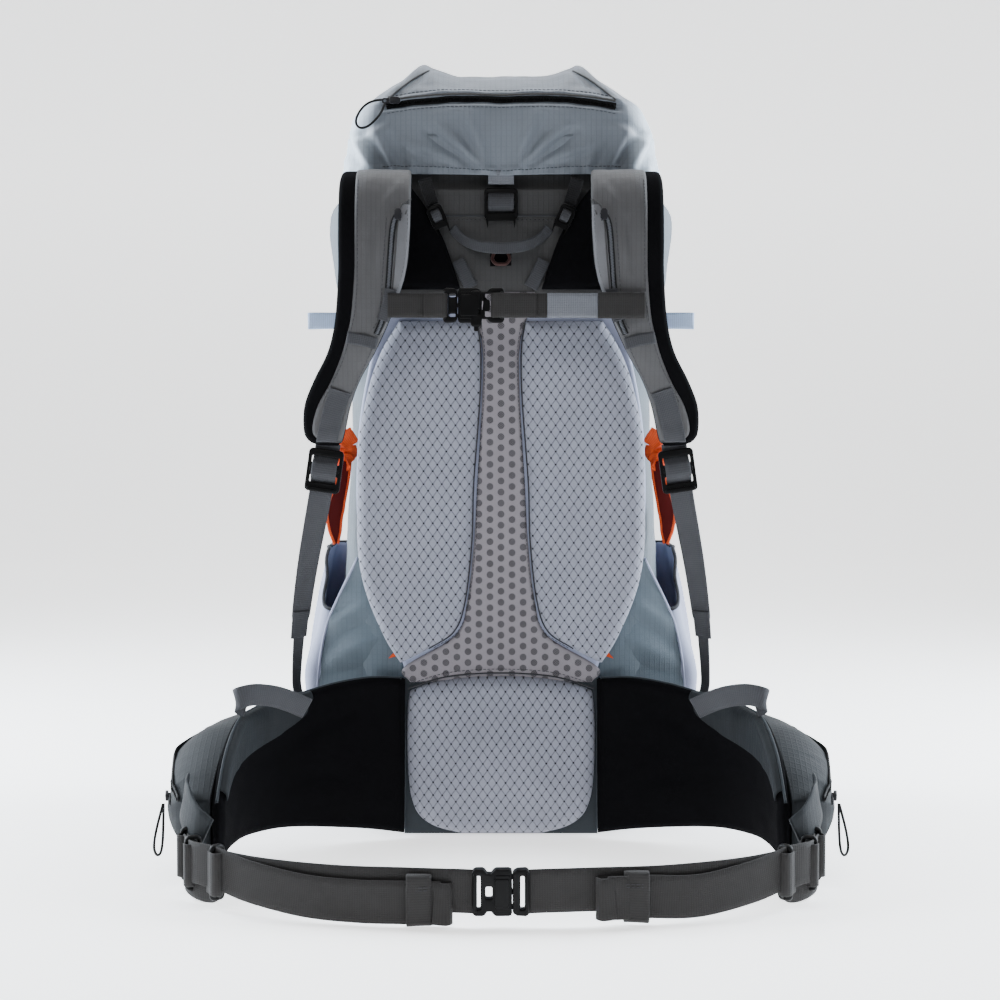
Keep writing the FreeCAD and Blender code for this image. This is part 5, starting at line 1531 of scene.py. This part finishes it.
def hip_pocket():
    """The left pocket's cloth, and the line of the stitches along its top."""
    base, outside, distance, line = wing_grid(HIP_POCKET, 120, 70)
    depth = line[:, 4:5] * roll_over(distance, 24)
    lift = 0.0034 * noise_at(base * (1, 0.8, 1), 0.04, 41) + 0.0022 * noise_at(base, 0.017, 42)
    ridges = np.abs(noise_at(base * (1.2, 1, 0.8), 0.032, 45))
    lift += 0.0034 * (1 - np.clip(ridges * 3.2, 0, 1)) ** 2
    depth = np.maximum(depth + lift * roll_over(distance, 14), 0.0004) + 0.0076
    # the zip lies in a straight groove, so that its slider runs clear of the cloth
    travel = (base[..., 1] - HIP_ZIP_END[1]) / HIP_ZIP_WAY[1]
    skin = base + outside * depth[..., None]
    off_line = skin[..., 2] - (HIP_ZIP_END[2] + travel * HIP_ZIP_WAY[2])
    limit = HIP_ZIP_END[0] + travel * HIP_ZIP_WAY[0] + SLIDER_ROOM
    proud = np.maximum(limit - skin[..., 0], 0) / np.maximum(-outside[..., 0], 0.3)
    groove = np.exp(-(off_line / GROOVE_WIDTH) ** 4)
    groove = groove * smooth_step(travel, -0.03, -0.012) * (1 - smooth_step(travel, 0.078, 0.1))
    depth = np.maximum(depth - proud * groove, 0.008)
    pouch = closed_sheet(base + outside * depth[..., None], base + outside * 0.0072)
    return pouch, base[:, -4] + outside[:, 0] * 0.0085


def hip_wings():
    wing, binding, trim = wing_parts()
    pouch, edge_line = hip_pocket()
    surface = Surface(pouch)
    zip_track = line_through([(-340, -311, 75), (-340, -296, 81), (-340, -262, 98), (-330, -226, 113),
                              (-310, -196, 120)], 120)
    track = surface.lay(zip_track, 0.0010, towards=(1, 0.25, -0.05))
    tape = ribbon(track, (0, -0.2, 1), 0.0085, 0.0012)
    teeth = zip_coil(track, 80, 8, (0, 0, 0.0014), (-0.0010, 0, 0), (-0.0005, 0, 0))
    threads = stitches(edge_line[6:-6])
    loop = line_through([(-240, -238, 148), (-248, -246, 155), (-243, -252, 159.5), (-230, -247, 161.5),
                         (-214, -235, 158), (-200, -221, 151), (-186, -207, 142)], 80)
    lean = through([(-0.3, 0, 1), (-0.2, 0, 1), (0, 0, 1), (0.2, 0, 1), (0.35, 0, 1), (0.5, 0, 1)], 80)
    over = ribbon(loop, lean, 0.0205, 0.0018)
    flap = line_through([(-284, -304, 92), (-284, -322, 82), (-279, -338, 71), (-270, -352, 62),
                         (-259, -360, 55)], 40)
    flap_width = np.interp(np.arange(40), [0, 14, 39], [0.018, 0.036, 0.032])
    cloth_flap = ribbon(flap, (0.15, 0, 1), flap_width, 0.0024)
    for side, sign in SIDES:
        turn = mirrored if sign > 0 else unchanged
        piece("hip_wing_foam_" + side, turn(wing), "black_mesh", "hip_belt", ["hip_wing_" + side])
        piece("hip_pocket_cloth_" + side, turn(pouch), "hip_fabric", "hip_belt", ["hip_pocket_" + side])
        piece("hip_zip_tape_" + side, turn(tape[:2]), "zip_tape", "hip_belt")
        piece("hip_zip_coil_" + side, turn(teeth), "plastic", "hip_belt")
        piece("hip_stitching_" + side, turn(threads), "webbing", "hip_belt")
        piece("hip_binding_" + side, turn(binding), "panel_fabric", "hip_belt")
        piece("hip_trim_" + side, turn(trim), "hip_fabric", "hip_belt")
        piece("hip_flap_" + side, turn(cloth_flap[:2]), "hip_fabric", "hip_belt")
        webbing_piece("hip_gear_loop_" + side, [turn(over)], "webbing", "hip_belt")


BELT_THICKNESS = 0.0019


def belt_strips(mirror_it, near, far, drop):
    """The two layers of one side's webbing: the inner one holds the buckle, the outer one is the tail."""
    inner = line_through([(-274, -322, 36), (-277.5, -345, 35), (-263, -379, 34), (-212, -417.5, 31.5),
                          (-141, -442, 30), (-75, -452.5, 30.2), (-30, -456.5, 29.8), (-22.8, -458, 29.7)],
                         150)
    inner_strip = ribbon(inner, (0, 0, 1), 0.037, BELT_THICKNESS)
    outer = line_through([(-280, -349, 35), (-268, -382.5, 36.5), (-246, -400, 36), (-213, -422, 29),
                          (-165, -441, 22), (-120, -451.5, 20 + drop), (far, -457.5, 20.5 + drop),
                          (near, -460.5, 20.5 + drop)], 150)
    tail = line_through([(near - 6, -460.5, 20.5 + drop), (near + 3, -463, 20 + drop),
                         (near + 8, -460, 20 + drop), (near + 8.5, -455.5, 20 + drop),
                         (near + 3, -453.5, 20 + drop), (near - 14, -454.5, 20.5 + drop)], 60)
    outer_strip = ribbon(outer, (0, 0, 1), 0.0365, BELT_THICKNESS)
    fold = ribbon(tail, (0, 0.06, 1), 0.035, BELT_THICKNESS)
    turn = mirrored if mirror_it else unchanged
    return turn(inner_strip), [turn(outer_strip), turn(fold)]


def keeper_strip(middle, depth, height, centre_z, mirror_it):
    """A loop of webbing round the belt's layers, about their middle at the given depth."""
    low, high = centre_z - height / 2, centre_z + height / 2
    ring = [(depth - 4.8, low), (depth - 5.4, centre_z), (depth - 4.8, high), (depth, high + 2.2),
            (depth + 4.6, high), (depth + 5.2, centre_z), (depth + 4.6, low), (depth, low - 2.2),
            (depth - 4.8, low + 1)]
    strip = ribbon(line_through([(middle, y, z) for y, z in ring], 100), (1, 0.17, 0), 0.021, 0.0018)
    return mirrored(strip) if mirror_it else strip


# middle of each slide on the left, and the way the webbing runs there
GLIDES = (((-277, -343, 34), (0.05, -1)), ((-268.5, -372, 33), (0.42, -0.9)),
          ((-244, -397.5, 31), (0.76, -0.65)))


def belt():
    inner, outer = belt_strips(False, -50, -84, 0)
    webbing_piece("belt_strap_left", [inner] + outer, "belt_webbing", "hip_belt", ["belt_webbing_left"])
    inner, outer = belt_strips(True, -88, -104, 4)
    webbing_piece("belt_tail_right", outer, "belt_webbing", "hip_belt")
    moving = webbing_piece("belt_strap_right", [inner], "belt_webbing", replaced=["belt_webbing_right"])
    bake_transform(moving)
    keepers = [keeper_strip(-68, -458, 37, 22.5, False), keeper_strip(-112, -452.5, 37, 24, True)]
    webbing_piece("belt_keeper_loops", keepers, "belt_webbing", "hip_belt", ["belt_keepers"])
    lines = []
    for left, right, front, heights in ((-78, -58, -0.4645, (34.5, 32)), (102, 122, -0.4595, (36, 33.5))):
        for z in heights:
            lines.append(stitches([(x * MM, front, z * MM) for x in np.linspace(left, right, 12)]))
    piece("belt_stitching", joined(lines), "webbing", "hip_belt")

    rings, folds = [], []
    outline = [rounded_rectangle(15, 49, 5), rounded_rectangle(7.4, 40, 2)]
    for spot, (ax, ay) in GLIDES:
        # a ring stands square to the webbing that runs through it
        part = plate(outline, 6, 2.4)
        rings.append(set_in(part, spot, (-ay, ax, 0), (0, 0, 1)))
        middle = np.array(spot) * MM
        across = np.array((-ay, ax, 0))
        along = np.array((ax, ay, 0))
        steps = through([(-9, 3), (-3, 5.5), (3, 8.8), (8, 8.4), (10, 4), (8, 1.6)], 40) * MM
        fold = middle + steps[:, :1] * along - steps[:, 1:] * across
        folds.append(ribbon(fold, (0, 0, 1), 0.0375, BELT_THICKNESS))
    hanging = line_through([(-279, -352, 24), (-274, -366, 14.5), (-262, -380, 11), (-249, -391, 12),
                            (-241, -399, 20)], 50)
    folds.append(ribbon(hanging, (0, 0.1, 1), 0.018, BELT_THICKNESS))
    hard_piece("belt_tri_glides", [pair(joined(rings))], "plastic", "hip_belt", ["belt_slides"])
    webbing_piece("belt_glide_folds", both_sides(folds), "belt_webbing", "hip_belt")


# ---- zip sliders and pull cords ------------------------------------------------------------------

LID_PULL = [(-116.6, -141, 731.5), (-124, -141, 731), (-133, -141, 727), (-140, -141, 718.5),
            (-143, -141, 709.5), (-139, -141, 703.5), (-131, -141, 705), (-124, -141, 711),
            (-117, -141, 719), (-113.5, -141, 728.4)]
HIP_PULL = [(-305, -314.5, 72.6), (-306.5, -319, 65), (-308.5, -324, 55), (-310, -329, 45),
            (-310.5, -331.5, 35.5), (-308.5, -328, 28.5), (-306.3, -321.5, 28.5), (-305.5, -316.5, 35),
            (-305.3, -313.5, 45), (-305.3, -311.5, 56), (-305.5, -308.7, 71.8)]
CORD = 0.0024


def cord_piece(name, route, body, node):
    curve = bpy.data.curves.new(name, "CURVE")
    curve.dimensions = "3D"
    spline = curve.splines.new("NURBS")
    spline.points.add(len(route) - 1)
    for point, (x, y, z) in zip(spline.points, route):
        point.co = (x * MM, y * MM, z * MM, 1)
    spline.order_u = 3
    spline.use_endpoint_u = True
    curve.bevel_depth = CORD / 2
    curve.bevel_resolution = 3
    curve.resolution_u = 12
    curve.materials.append(CLOTH["cord"])
    obj = bpy.data.objects.new(name, curve)
    bpy.context.scene.collection.objects.link(obj)
    finish_piece(obj, body, [node])


def slider_parts(origin, x_axis, y_axis, tab=10):
    """A zip slider: two wings joined by a bridge, and a pull with a hole. Local -Y faces outwards."""
    wings = plate([[(-5.2, -2.2), (-3.6, -3.6), (3.4, -3.2), (5.4, -1.6), (5.4, 1.6), (3.4, 3.2),
                    (-3.6, 3.6), (-5.2, 2.2)]], 2.8, 0.6)
    bridge = plate([rounded_rectangle(6.4, 2.2, 1)], 2.0, 0.6)
    bridge[0][:, 2] += 2.2 * MM
    pull = plate([rounded_rectangle(tab + 2, 5.4, 1.8, (-tab * 0.7, 0)),
                  rounded_rectangle(tab * 0.3, 2.4, 1, (-tab * 1.0, 0)),
                  rounded_rectangle(2.6, 2.4, 0.9, (-tab * 0.34, 0))], 1.6, 0.4)
    pull[0][:, 2] += 3.0 * MM
    face = np.cross(np.array(x_axis, float), np.array(y_axis, float))
    # the plates' third axis points outwards, against the local Y
    return [set_in(part, origin, x_axis, -face) for part in (wings, bridge, pull)]


def zip_pulls():
    at = ((-104, -138, 731.5), (1, 0, 0), (0, 1, 0))
    hard_piece("lid_zip_runner", slider_parts(*at), "zip_metal", "lid_slider", ["lid_zip_slider"])
    cord_piece("lid_zip_pull_loop", LID_PULL, "lid_slider", "lid_pull_cord")
    for side, sign in SIDES:
        at = ((sign * 98, -199.6, 614), (0, 0.05, 1), (0, 1, -0.05))
        hard_piece("strap_zip_runner_" + side, slider_parts(*at, tab=8), "zip_metal",
                   "strap_slider_" + side, ["strap_zip_slider_" + side])
        at = ((sign * 303.4, -303, 78), (sign * 0.12, 0.9, 0.42), (-sign, 0, 0))
        hard_piece("hip_zip_runner_" + side, slider_parts(*at), "zip_metal", "hip_slider_" + side,
                   ["hip_zip_slider_" + side])
        route = [(-sign * x, y, z) for x, y, z in HIP_PULL]
        cord_piece("hip_zip_pull_loop_" + side, route, "hip_slider_" + side, "hip_pull_cord_" + side)


def carried_nodes():
    """CAD nodes whose own shape shows get a finish."""
    finishes = {"collar_drawcord": "cord", "cord_lock": "plastic", "lid_lining": "collar_fabric",
                "frame_sheet": "sheet_plastic", "frame_stays": "stay_metal"}
    for name, slot in finishes.items():
        obj = bpy.data.objects[name]
        obj.data.materials.clear()
        obj.data.materials.append(CLOTH[slot])


# ---- the scene -----------------------------------------------------------------------------------

camera()
zip_pulls()
studio()
stage()
bag()
collar()
lid()
back_system()
side_pockets()
side_details()
shoulder_straps()
locks()
small_webbing()
sternum_strap()
far_buckles()
hip_wings()
belt()
belt_buckle()
carried_nodes()

bpy.context.view_layer.update()
